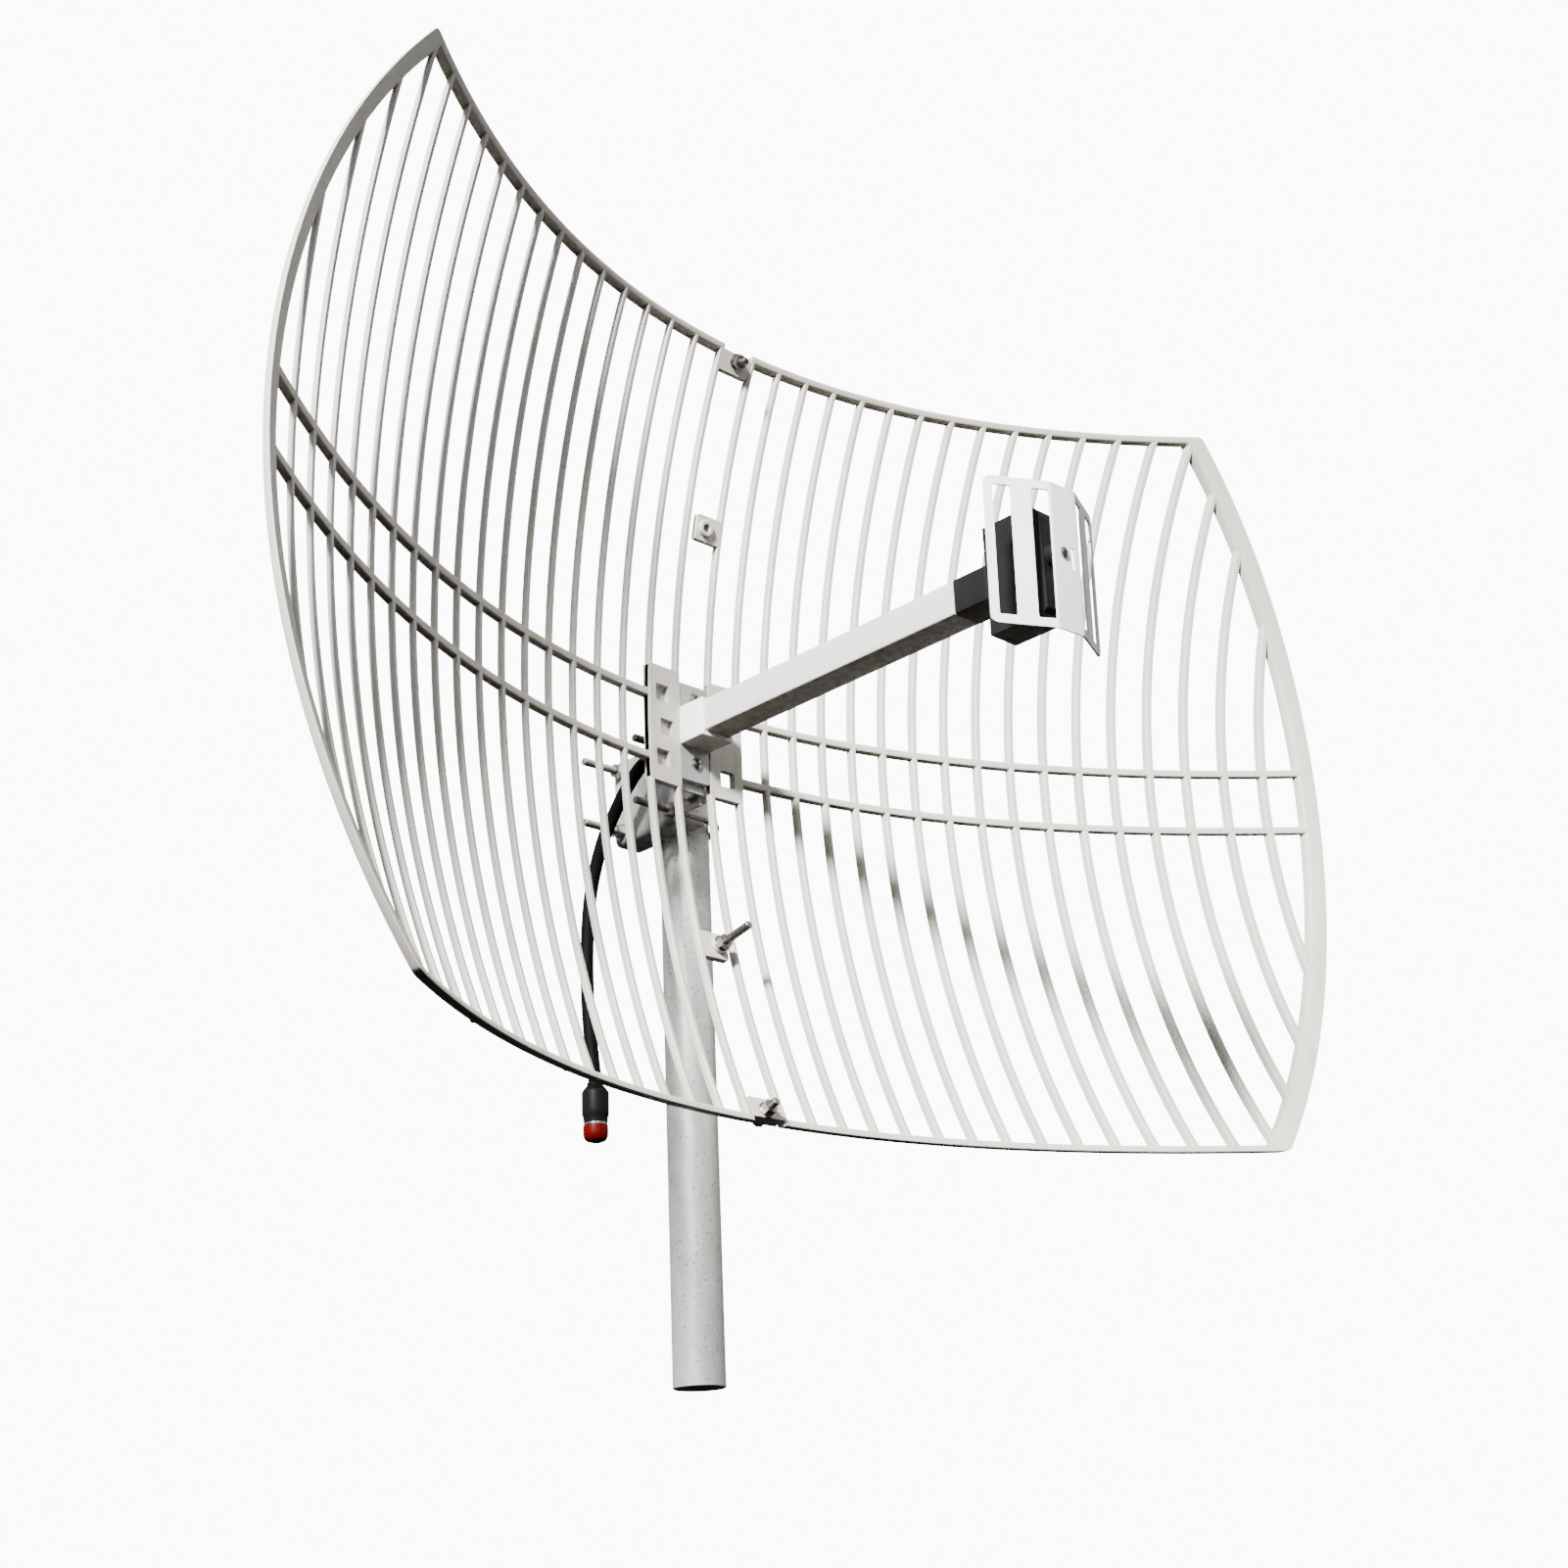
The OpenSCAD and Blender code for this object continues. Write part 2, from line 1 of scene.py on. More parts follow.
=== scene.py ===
"""Looks of the grid parabolic antenna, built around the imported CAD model.

Lengths are millimetres in dish coordinates: the origin is the vertex of the
grid, the dish looks along -Y and +Z is up. They become metres in the frame of
the whole part when a mesh is made.
"""

import math
import bmesh
import bpy
from mathutils import Matrix, Vector


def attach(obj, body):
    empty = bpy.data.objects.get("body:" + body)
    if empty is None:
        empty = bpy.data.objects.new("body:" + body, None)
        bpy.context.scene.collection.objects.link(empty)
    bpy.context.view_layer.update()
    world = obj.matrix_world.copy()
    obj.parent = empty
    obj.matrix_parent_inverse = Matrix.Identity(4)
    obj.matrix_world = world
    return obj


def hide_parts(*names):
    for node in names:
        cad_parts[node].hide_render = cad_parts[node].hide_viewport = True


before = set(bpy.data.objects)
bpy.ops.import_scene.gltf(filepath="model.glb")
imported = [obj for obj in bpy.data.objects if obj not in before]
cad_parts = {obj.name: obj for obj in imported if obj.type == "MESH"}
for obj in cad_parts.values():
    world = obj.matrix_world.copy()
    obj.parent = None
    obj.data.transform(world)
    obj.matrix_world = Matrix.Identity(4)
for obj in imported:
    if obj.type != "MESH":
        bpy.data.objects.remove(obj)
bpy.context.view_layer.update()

MM = 0.001
VERTEX = Vector((-53, -73, 460))

# edges of the meshes, in degrees between faces
SHARP_ANGLE = 35
BEVEL_ANGLE = 38

# grid
ARC_R = 735
FOCAL_P = 569
RIM_R = 495
RIM_BITE = 3
HALF_H = 304
RAIL_BITE = 2.5
BARS = 18
FIRST_BAR = 16.4
BAR_STEP = 27
STEP_SHRINK = 0.0453
BAR_W = 4
BAR_D = 6
BAR_EDGE = 1.0
RAIL_H = 5.5
RAIL_D = 7.5
RAIL_EDGE = 1.3
SEAM_EDGE = 14.4
END_W = 10
CORNER_R = 8
INNER_CORNER_R = 2
RIB_Z = 25
RIB_H = 6
RIB_START = 43
RIB_EDGE = 1.2
HUB_H = 92
HUB_Z = 2.5
SQUARE_HALF = 6.5
HOLE_R = 3.2
LEFT_HOLES = ((-31.5, 25), (-27, -1.5), (-31.5, -26.5))
RIGHT_HOLES = ((-31.5, 29), (-31.5, -21.5))
BACK_Y = 4
LUG_T = 4
LUG_H = 19
LUG_Z = 294.5
LUG_REACH = 13.5
LUG_BOLT = 12
TAB_Z = 167
TAB_T = 5
TAB_HALF = 10
TAB_REACH = 8
TAB_BOLT = 31
BOSS_H = 3
MARK_XS = (-90, -200, -310)

# feed
ARM_S = 25
ARM_WALL = 1.5
ARM_Z = 7
BASE_FRONT = -1
COLLAR_Y = -26
COLLAR_S = 30
COLLAR_DROP = 1
SLEEVE_Y = -273
HOUSING_Y = -302
HOUSING_L = 48
HOUSING_ZS = (-32, 46)
HOUSING_R = 12
HOUSING_HALF_W = 12.5
FOCUS_Y = -359
SUB_TILT = 4
SUB_ROLL = -3
SUB_T = 1.5
SUB_HALF_H = 50
SUB_BEND_R = 2.0
SUB_FLAT = 12.2
SUB_WING = 46.5
SUB_ANGLE = 25.5
SUB_DROP = 2
SUB_SCREW = (-3.3, 0, 3.4)
WINDOW_W = 11.5
WINDOW_XS = (18.8, 43)
WINDOW_HALF_H = 44
BASE_HALF_W = 13.5
BASE_ZS = (-35.5, 41.5)
BASE_SCREWS = (31, -21)
BASE_SCREW_R = 2.6
HUB_SCREWS = (14, -9)

# clamp
MAST_X = 53
MAST_Y = 73
MAST_R = 19
MAST_WALL = 2
MAST_L = 485
WEB_X = 15
FLANGE_X = 38.5
CHANNEL_ZS = (-51, 19)
PLATE_X = 40
SHEET = 3
FOLD_R = 3.5
U_HALF = 30
U_ZS = (9, -41)
U_END = -22
U_ROD_R = 2.95
TILT_Y = 17
TILT_ZS = (9, -37)
TILT_HOLE_R = 3.05
TILT_BOLT_R = 2.98
TILT_BOLT_L = 18.4
SLOT_R = 46
SLOT_ANGLES = (-4.5, 11.5)
SLIP = 0.3
WASHER_T = 1.2
SEAT_GAP = 0.05
FLANGE_GAP = 0.2
NUT_H = 5
BOLT_R = 3

# cable behind the dish; its radius and plug in millimetres, the rest in metres
# in the frame of the whole part
CABLE_R = 5
PLUG_AT = (-10, 108, -241)
ROUTE = [
    (-0.053, -0.049, 0.464),
    (-0.053, -0.039, 0.461),
    (-0.055, -0.029, 0.458),
    (-0.057, -0.019, 0.455),
    (-0.059, -0.010, 0.447),
    (-0.061, 0.000, 0.435),
    (-0.062, 0.011, 0.421),
    (-0.063, 0.021, 0.406),
    (-0.063, 0.030, 0.388),
    (-0.063, 0.038, 0.364),
    (-0.063, 0.042, 0.334),
    (-0.063, 0.043, 0.300),
    (-0.063, 0.041, 0.264),
    (-0.063, 0.037, 0.234),
    (-0.063, 0.035, 0.219),
]

# studio, in metres in the frame of the whole part
FLOOR_HALF = 4.0
FLOOR_Z = -1.25
FLOOR_CELLS = 8
LIT_POINT = (-0.05, -0.2, 0.45)
BACKDROP = 14.0
CAMERA_LENS = 52.1
CAMERA_AT = (-1.0984, -1.2268, -0.1929)
CAMERA_RIGHT = (0.72318, -0.68939, -0.04205)
CAMERA_UP = (-0.22483, -0.29253, 0.92945)
CAMERA_AHEAD = (0.65305, 0.66270, 0.36655)


# ---------------------------------------------------------------- materials
class Nodes:
    """A node material under construction."""

    def __init__(self, name):
        self.mat = bpy.data.materials.new(name)
        self.mat.use_nodes = True
        self.tree = self.mat.node_tree
        self.shader = self.tree.nodes["Principled BSDF"]
        self.coord = self.tree.nodes.new("ShaderNodeTexCoord")
        self.point = self.coord.outputs["Object"]

    def stretch(self, scale):
        """Object coordinates stretched for one texture."""
        mapping = self.tree.nodes.new("ShaderNodeMapping")
        mapping.inputs["Scale"].default_value = scale
        self.tree.links.new(self.point, mapping.inputs["Vector"])
        return mapping.outputs["Vector"]

    def noise(self, scale, detail=4, rough=0.5, point=None):
        node = self.tree.nodes.new("ShaderNodeTexNoise")
        node.inputs["Scale"].default_value = scale
        node.inputs["Detail"].default_value = detail
        node.inputs["Roughness"].default_value = rough
        self.tree.links.new(point or self.point, node.inputs["Vector"])
        return node.outputs["Fac"]

    def cells(self, scale):
        node = self.tree.nodes.new("ShaderNodeTexVoronoi")
        node.inputs["Scale"].default_value = scale
        self.tree.links.new(self.point, node.inputs["Vector"])
        return node.outputs["Color"]

    def underside(self):
        """1 on faces that look down in the rest pose, 0 on upright ones; the mask of the painted
        shade on undersides.
        """
        split = self.tree.nodes.new("ShaderNodeSeparateXYZ")
        self.tree.links.new(self.coord.outputs["Normal"], split.inputs["Vector"])
        reach = self.tree.nodes.new("ShaderNodeMapRange")
        reach.inputs["From Min"].default_value = -0.45
        reach.inputs["From Max"].default_value = -0.85
        self.tree.links.new(split.outputs["Z"], reach.inputs["Value"])
        return reach.outputs["Result"]

    def ramp(self, value, stops):
        """Colour ramp; stops are (position, grey or colour)."""
        node = self.tree.nodes.new("ShaderNodeValToRGB")
        points = node.color_ramp.elements
        while len(points) < len(stops):
            points.new(0.5)
        for point, (place, tone) in zip(points, stops):
            point.position = place
            point.color = (tone, tone, tone, 1) if isinstance(tone, (int, float)) else (*tone, 1)
        self.tree.links.new(value, node.inputs["Fac"])
        return node.outputs["Color"]

    def blend(self, mode, amount, below, above):
        """Mixes two colours; amount is a number or a socket."""
        node = self.tree.nodes.new("ShaderNodeMix")
        node.data_type = "RGBA"
        node.blend_type = mode
        for socket, value in (("Factor", amount), ("A", below), ("B", above)):
            target = next(
                s for s in node.inputs
                if s.name == socket and s.type == ("VALUE" if socket == "Factor" else "RGBA")
            )
            if isinstance(value, bpy.types.NodeSocket):
                self.tree.links.new(value, target)
            elif socket == "Factor":
                target.default_value = value
            else:
                target.default_value = (*value, 1)
        return next(s for s in node.outputs if s.type == "RGBA")

    def spread(self, value, low, high):
        """Maps 0..1 to low..high."""
        node = self.tree.nodes.new("ShaderNodeMapRange")
        node.inputs["To Min"].default_value = low
        node.inputs["To Max"].default_value = high
        self.tree.links.new(value, node.inputs["Value"])
        return node.outputs["Result"]

    def bump(self, height, strength, distance, below=None):
        node = self.tree.nodes.new("ShaderNodeBump")
        node.inputs["Strength"].default_value = strength
        node.inputs["Distance"].default_value = distance
        self.tree.links.new(height, node.inputs["Height"])
        if below is not None:
            self.tree.links.new(below, node.inputs["Normal"])
        return node.outputs["Normal"]

    def finish(self, color, rough, normal, metallic=0.0, **constants):
        links = self.tree.links
        links.new(color, self.shader.inputs["Base Color"])
        links.new(rough, self.shader.inputs["Roughness"])
        links.new(normal, self.shader.inputs["Normal"])
        self.shader.inputs["Metallic"].default_value = metallic
        for name, value in constants.items():
            self.shader.inputs[name.replace("_", " ")].default_value = value
        return self.mat


def powder_coat(name, tone, stain, painted_shade):
    """Off-white powder coat with orange peel, weather stains and painted shade on faces that look
    down.
    """
    m = Nodes(name)
    wide = m.noise(9, detail=5, rough=0.6)
    fine = m.noise(220, detail=3, rough=0.5)
    streaks = m.noise(60, detail=4, rough=0.6, point=m.stretch((1, 1, 0.08)))
    dark = tuple(c * 0.86 for c in tone)
    color = m.blend("MIX", m.ramp(wide, [(0.35, 0.0), (0.7, 0.55)]), tone, dark)
    color = m.blend("MIX", m.ramp(streaks, [(0.55, 0.0), (0.78, 0.5)]), color, stain)
    color = m.blend("MIX", m.ramp(fine, [(0.66, 0.0), (0.8, 0.35)]), color, stain)
    # painted shade: faces that look down take the shade colour
    color = m.blend("MIX", m.underside(), color, painted_shade)
    rough = m.spread(wide, 0.38, 0.62)
    peel = m.bump(m.noise(900, detail=2, rough=0.5), 0.25, 0.0002)
    normal = m.bump(m.noise(70, detail=3, rough=0.5), 0.12, 0.0006, peel)
    return m.finish(color, rough, normal)


def galvanised(name, tone, streak=0.5, metallic=0.4):
    """Zinc with spangle, runs down the pipe and small dark spots."""
    m = Nodes(name)
    spangle = m.cells(95)
    runs = m.noise(38, detail=5, rough=0.65, point=m.stretch((1, 1, 0.05)))
    spots = m.noise(420, detail=2, rough=0.5)
    cloud = m.noise(26, detail=4, rough=0.6)
    light = tuple(min(1, c * 1.18) for c in tone)
    dark = tuple(c * 0.72 for c in tone)
    grey = m.ramp(spangle, [(0.1, dark), (0.9, light)])
    color = m.blend("MIX", 0.35, tone, grey)
    color = m.blend("MIX", m.ramp(runs, [(0.42, 0.0), (0.75, streak)]), color, dark)
    color = m.blend("MIX", m.ramp(spots, [(0.62, 0.0), (0.7, 0.65)]), color, (0.12, 0.11, 0.1))
    rough = m.spread(cloud, 0.34, 0.6)
    fine = m.bump(spangle, 0.08, 0.0003)
    normal = m.bump(m.noise(310, detail=4, rough=0.6), 0.2, 0.0003, fine)
    return m.finish(color, rough, normal, metallic)


def satin_metal(name, tone, stretch, metallic=0.85, rough=(0.28, 0.45), painted_shade=None):
    """Drawn or brushed metal with grain along one direction and painted shade below, made patchy
    by the scuffs.
    """
    m = Nodes(name)
    grain = m.noise(600, detail=4, rough=0.6, point=m.stretch(stretch))
    cloud = m.noise(14, detail=4, rough=0.55)
    scuffs = m.noise(160, detail=3, rough=0.7, point=m.stretch((1, 1, 0.6)))
    dark = tuple(c * 0.8 for c in tone)
    color = m.blend("MIX", m.ramp(grain, [(0.35, 0.0), (0.7, 0.45)]), tone, dark)
    color = m.blend("MIX", m.ramp(scuffs, [(0.66, 0.0), (0.8, 0.5)]), color, dark)
    # painted shade: faces that look down take the shade colour, broken up by the scuffs
    if painted_shade:
        patchy_shade = m.blend("MIX", m.ramp(scuffs, [(0.3, 0.0), (0.7, 0.22)]), painted_shade, tone)
        color = m.blend("MIX", m.underside(), color, patchy_shade)
    roughness = m.spread(cloud, *rough)
    normal = m.bump(grain, 0.12, 0.0002)
    return m.finish(color, roughness, normal, metallic)


def moulded(name, tone, rough=(0.38, 0.55), grain=1400, sheen=None, shine=0.2):
    """Moulded plastic or rubber with a fine grain and dust."""
    m = Nodes(name)
    cloud = m.noise(45, detail=4, rough=0.6)
    dust = m.noise(280, detail=4, rough=0.7)
    pale = tuple(c * 1.6 + 0.001 for c in tone)
    color = m.blend("MIX", m.ramp(cloud, [(0.4, 0.0), (0.75, 0.4)]), tone, pale)
    color = m.blend("MIX", m.ramp(dust, [(0.62, 0.0), (0.8, 0.35)]), color, sheen or pale)
    roughness = m.spread(cloud, *rough)
    normal = m.bump(m.noise(grain, detail=2, rough=0.5), 0.2, 0.00015)
    return m.finish(color, roughness, normal, Specular_IOR_Level=shine)


def floor_paint():
    """Matt pale grey paint for the studio floor."""
    m = Nodes("floor_paint")
    cloud = m.noise(1.5, detail=3, rough=0.5)
    color = m.ramp(cloud, [(0.3, (0.80, 0.80, 0.79)), (0.7, (0.83, 0.83, 0.82))])
    rough = m.spread(m.noise(6, detail=3, rough=0.5), 0.6, 0.75)
    return m.finish(color, rough, m.bump(m.noise(90, detail=2, rough=0.5), 0.05, 0.001))


# the last colour of each coat is the painted shade on faces that look down
CASTING = powder_coat(
    "casting_coat", (0.48, 0.463, 0.415), (0.28, 0.255, 0.21), (0.24, 0.22, 0.185)
)
WHITE_SHEET = powder_coat(
    "sheet_coat", (0.86, 0.86, 0.85), (0.55, 0.53, 0.48), (0.22, 0.21, 0.195)
)
MAST_ZINC = galvanised("mast_zinc", (0.66, 0.655, 0.63), 1.0, 0.35)
SHEET_ZINC = galvanised("sheet_zinc", (0.38, 0.385, 0.385), 0.35)
# its last colour is the painted shade on the underside of the arm
ARM_METAL = satin_metal(
    "arm_metal", (0.57, 0.57, 0.56), (1, 0.02, 1), 0.2, (0.35, 0.5), (0.085, 0.075, 0.064)
)
BOLT_ZINC = satin_metal("bolt_zinc", (0.34, 0.32, 0.29), (1, 1, 1), 1.0, (0.2, 0.38))
DARK_THREAD = satin_metal("dark_thread", (0.2, 0.19, 0.18), (1, 1, 1), 0.8, (0.4, 0.6))
RING_METAL = satin_metal("ring_metal", (0.36, 0.36, 0.36), (1, 1, 1), 1.0, (0.18, 0.3))
BLACK_PLASTIC = moulded("black_plastic", (0.007, 0.0067, 0.0064), shine=0.08)
RUBBER = moulded("cable_rubber", (0.0022, 0.0022, 0.0022), (0.5, 0.65), 900, shine=0.03)
CONNECTOR_BLACK = moulded("connector_black", (0.0045, 0.0044, 0.0044), shine=0.06)
RED_PLASTIC = moulded(
    "red_plastic", (0.07, 0.0005, 0.0008), (0.35, 0.5), 1100, (0.1, 0.003, 0.003), 0.08
)
BRASS = satin_metal("dipole_brass", (0.72, 0.5, 0.2), (1, 1, 1), 1.0, (0.25, 0.4))


# ---------------------------------------------------------------- mesh tools
class Shape:
    """Vertices in millimetres and faces of one piece."""

    def __init__(self):
        self.verts = []
        self.faces = []

    def add(self, verts, faces, place=None):
        base = len(self.verts)
        place = place or Matrix()
        self.verts.extend(place @ Vector(v) for v in verts)
        self.faces.extend([base + i for i in face] for face in faces)

    def loft(self, rings, place=None, loop=False):
        """Skins rings of equal length; a loop closes on its first ring."""
        n = len(rings[0])
        count = len(rings)
        faces = []
        for i in range(count if loop else count - 1):
            j = (i + 1) % count
            for k in range(n):
                m = (k + 1) % n
                faces.append((i * n + k, i * n + m, j * n + m, j * n + k))
        if not loop:
            faces.append(tuple(range(n - 1, -1, -1)))
            faces.append(tuple((count - 1) * n + k for k in range(n)))
        self.add([p for ring in rings for p in ring], faces, place)


def piece(name, shape, body, material, nodes, slot, bevel=0.0):
    """Makes the object, gives it its finish and lets it ride on its body."""
    mesh = bpy.data.meshes.new(name)
    mesh.from_pydata([(v + VERTEX) * MM for v in shape.verts], [], shape.faces)
    bm = bmesh.new()
    bm.from_mesh(mesh)
    bmesh.ops.remove_doubles(bm, verts=bm.verts, dist=1e-6)
    bmesh.ops.recalc_face_normals(bm, faces=bm.faces)
    bm.to_mesh(mesh)
    bm.free()
    mesh.shade_smooth()
    mesh.set_sharp_from_angle(angle=math.radians(SHARP_ANGLE))
    mesh.materials.append(material)
    obj = bpy.data.objects.new(name, mesh)
    bpy.context.scene.collection.objects.link(obj)
    if bevel:
        edges = obj.modifiers.new("edges", "BEVEL")
        edges.width = bevel * MM
        edges.segments = 2
        edges.limit_method = "ANGLE"
        edges.angle_limit = math.radians(BEVEL_ANGLE)
        edges.harden_normals = True
    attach(obj, body)
    if nodes:
        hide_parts(*nodes)
    return obj


def move(x=0, y=0, z=0):
    return Matrix.Translation((x, y, z))


def turn(degrees, axis):
    return Matrix.Rotation(math.radians(degrees), 4, axis)


def circle(r, n, cx=0, cy=0):
    """Outline of a circle of n points about (cx, cy)."""
    angles = [2 * math.pi * i / n for i in range(n)]
    return [(cx + r * math.cos(a), cy + r * math.sin(a)) for a in angles]


def rectangle(x0, x1, y0, y1, r=0.0, steps=3):
    """Outline of a rectangle with rounded corners."""
    if not r:
        return [(x0, y0), (x1, y0), (x1, y1), (x0, y1)]
    corners = ((x1 - r, y1 - r), (x0 + r, y1 - r), (x0 + r, y0 + r), (x1 - r, y0 + r))
    points = []
    for quarter, (cx, cy) in enumerate(corners):
        for i in range(steps + 1):
            a = math.pi / 2 * (quarter + i / steps)
            points.append((cx + r * math.cos(a), cy + r * math.sin(a)))
    return points


def lathe(shape, profile, place=None, n=48, hollow=False):
    """Turns (radius, height) points about Z; hollow profiles are closed loops."""
    rings = [[(x, y, z) for x, y in circle(max(r, 0.01), n)] for r, z in profile]
    shape.loft(rings, place, loop=hollow)


def flat_mesh(outline, holes, cuts=()):
    """Filled outline with holes in X and Y, split along lines of constant X."""
    bm = bmesh.new()
    for loop in (outline, *holes):
        verts = [bm.verts.new((x, y, 0)) for x, y in loop]
        for a, b in zip(verts, verts[1:] + verts[:1]):
            bm.edges.new((a, b))
    bmesh.ops.triangle_fill(bm, edges=bm.edges, use_beauty=True, use_dissolve=False)
    for x in cuts:
        bmesh.ops.bisect_plane(
            bm, geom=bm.verts[:] + bm.edges[:] + bm.faces[:], dist=1e-4,
            plane_co=(x, 0, 0), plane_no=(1, 0, 0),
        )
    return bm


def sheet(shape, outline, holes, t0, t1, bend=None, cuts=(), place=None):
    """Plate between heights t0 and t1; bend(x, y, t) gives each vertex its place."""
    bm = flat_mesh(outline, holes, cuts)
    bm.verts.index_update()
    flat = [(v.co.x, v.co.y) for v in bm.verts]
    faces = [[v.index for v in f.verts] for f in bm.faces]
    rim = [[v.index for v in e.verts] for e in bm.edges if len(e.link_faces) == 1]
    bm.free()
    n = len(flat)
    bend = bend or (lambda x, y, t: (x, y, t))
    verts = [bend(x, y, t0) for x, y in flat] + [bend(x, y, t1) for x, y in flat]
    skin = [face[::-1] for face in faces] + [[n + i for i in face] for face in faces]
    walls = [[a, b, n + b, n + a] for a, b in rim]
    shape.add(verts, skin + walls, place)


class Fold:
    """Middle line of a folded sheet: straight runs and round bends."""

    def __init__(self, start, heading, steps):
        self.parts = []
        self.cuts = []
        point, angle, s = Vector(start), math.radians(heading), 0.0
        for kind, *size in steps:
            if kind == "run":
                length = size[0]
                self.parts.append((s, s + length, point.copy(), angle, 0.0, 0.0))
                point += length * Vector((math.cos(angle), math.sin(angle)))
            else:
                swing, radius = math.radians(size[0]), size[1]
                length = abs(swing) * radius
                self.parts.append((s, s + length, point.copy(), angle, swing, radius))
                side = math.copysign(1, swing)
                centre = point + side * radius * Vector((-math.sin(angle), math.cos(angle)))
                angle += swing
                point = centre + side * radius * Vector((math.sin(angle), -math.cos(angle)))
                self.cuts += [s + length * i / 5 for i in range(6)]
            s += length
        self.length = s

    def at(self, s, t):
        """Point at distance s along the sheet and t to the left of its middle."""
        part = next((p for p in self.parts if s <= p[1] + 1e-6), self.parts[-1])
        start, stop, point, angle, swing, radius = part
        if not swing:
            along = s - start
            heading = Vector((math.cos(angle), math.sin(angle)))
            here = point + along * heading
            return here + t * Vector((-heading.y, heading.x))
        side = math.copysign(1, swing)
        centre = point + side * radius * Vector((-math.sin(angle), math.cos(angle)))
        now = angle + swing * (s - start) / (stop - start)
        out = Vector((math.sin(now), -math.cos(now)))
        return centre + side * radius * out - t * out


# ---------------------------------------------------------------- fasteners
def hex_radius(af, k, n):
    """Distance from the centre of a hexagon to point k of n on its outline."""
    a = (360 * k / n + 30) % 60 - 30
    return af / 2 / math.cos(math.radians(a))


def hex_rings(af, height, n=48):
    """Rings of a hexagon, width af across its flats, chamfered at both ends."""
    kept = 0.3
    limit = af / 2 * (1 + (1 / math.cos(math.radians(30)) - 1) * kept)
    rings = []
    for base, sign in ((0, 1), (height, -1)):
        end, start = [], []
        for k in range(n):
            a = 2 * math.pi * k / n
            full = hex_radius(af, k, n)
            r = min(full, limit)
            drop = (full - r) * 0.58
            end.append((r * math.cos(a), r * math.sin(a), base))
            start.append((full * math.cos(a), full * math.sin(a), base + sign * drop))
        rings += [end, start] if sign > 0 else [start, end]
    return rings


def hex_nut(shape, place, r=BOLT_R, af=10, height=NUT_H):
    """Nut above z = 0 with a plain bore."""
    low = [(x, y, 0) for x, y in circle(r, 48)]
    high = [(x, y, height) for x, y in circle(r, 48)]
    shape.loft([low, *hex_rings(af, height), high], place, loop=True)


def hex_head(shape, place, af=10, height=4):
    """Bolt head below z = 0 with a shallow recess in its top."""
    recess = ((0.05, 0.35), (3.6, 0.35), (3.9, 0))
    dish = [[(x, y, z) for x, y in circle(r, 48)] for r, z in recess]
    shape.loft([*dish, *hex_rings(af, height)], place @ move(0, 0, -height))


def thread(shape, place, r, z0, z1):
    """Helical thread between two heights, with a small cone on its end."""
    pitch = 1.0
    n = 20
    root = r - 0.58 * pitch
    profile = (root, r, r, root)
    rows = int((z1 - z0) / pitch * 4) + 8
    verts = []
    for i in range(n):
        a = 2 * math.pi * i / n
        for k in range(rows):
            z = z0 + ((k - 4) / 4 + i / n) * pitch
            z = min(max(z, z0), z1)
            verts.append((profile[k % 4] * math.cos(a), profile[k % 4] * math.sin(a), z))
    faces = []
    for i in range(n):
        j = (i + 1) % n
        shift = 0 if j else 4
        for k in range(rows - 1 - shift):
            a = i * rows + k
            b = j * rows + k + shift
            faces.append((a, b, b + 1, a + 1))
    shape.add(verts, faces, place)
    core = root + 0.1
    tip = r - 0.15
    profile = [
        (root * 0.6, z0), (core, z0), (core, z1), (tip, z1), (tip, z1 + 0.05),
        (root, z1 + 0.5), (0.1, z1 + 0.5),
    ]
    lathe(shape, profile, place, n)


def washer(shape, place):
    """Washer above z = 0 with eased rims."""
    r, e, t = 6.5, 0.2, WASHER_T
    profile = [(BOLT_R, 0), (r - e, 0), (r, e), (r, t - e), (r - e, t), (BOLT_R, t)]
    lathe(shape, profile, place, 56, hollow=True)


def cross_screw(shape, place, r, height, shank, length):
    """Pan head below z = 0 with a cross recess, and its shank above."""
    w, k = r * 0.16, r * 0.62
    floor = -height * 0.36
    cross = [
        (w, w), (w, k), (-w, k), (-w, w), (-k, w), (-k, -w),
        (-w, -w), (-w, -k), (w, -k), (w, -w), (k, -w), (k, w),
    ]

    def dome(x, y, t):
        away = math.hypot(x, y) / r
        return (x, y, t if t > -height else -height + height * 0.45 * away ** 3)

    sheet(shape, circle(r, 40), [cross], -height, -height * 0.35, dome, (), place)
    profile = [
        (0.05, floor), (r * 0.99, floor), (r, -0.2), (r - 0.2, 0), (shank, 0),
        (shank, length), (0.05, length),
    ]
    lathe(shape, profile, place, 40)


# ---------------------------------------------------------------- grid
def section_rho(x):
    """Radius of the upright arc at x; every arc is centred at y = -ARC_R."""
    return ARC_R - x * x / (2 * FOCAL_P)


def behind(x, z, d):
    """Point of the grid at x and z, depth d behind its front face."""
    rho = section_rho(x) + d
    return Vector((x, math.sqrt(rho * rho - z * z) - ARC_R, z))


def on_arc(x, z, d):
    """The same, with depth measured square to the face near the seam."""
    slope = math.asin(z / ARC_R)
    rho = section_rho(x) + d
    return Vector((x, rho * math.cos(slope) - ARC_R, rho * math.sin(slope)))


def on_seam(z, d):
    """Frame on the seam whose +Z points forward, square to the face."""
    slope = math.degrees(math.asin(z / ARC_R))
    return move(0, -ARC_R, 0) @ turn(slope, "X") @ move(0, ARC_R + d, 0) @ turn(90, "X")


def bar_x(n):
    """Distance of bar n from the seam; the spacing shrinks towards the edge."""
    return FIRST_BAR + BAR_STEP * n - STEP_SHRINK * n * n


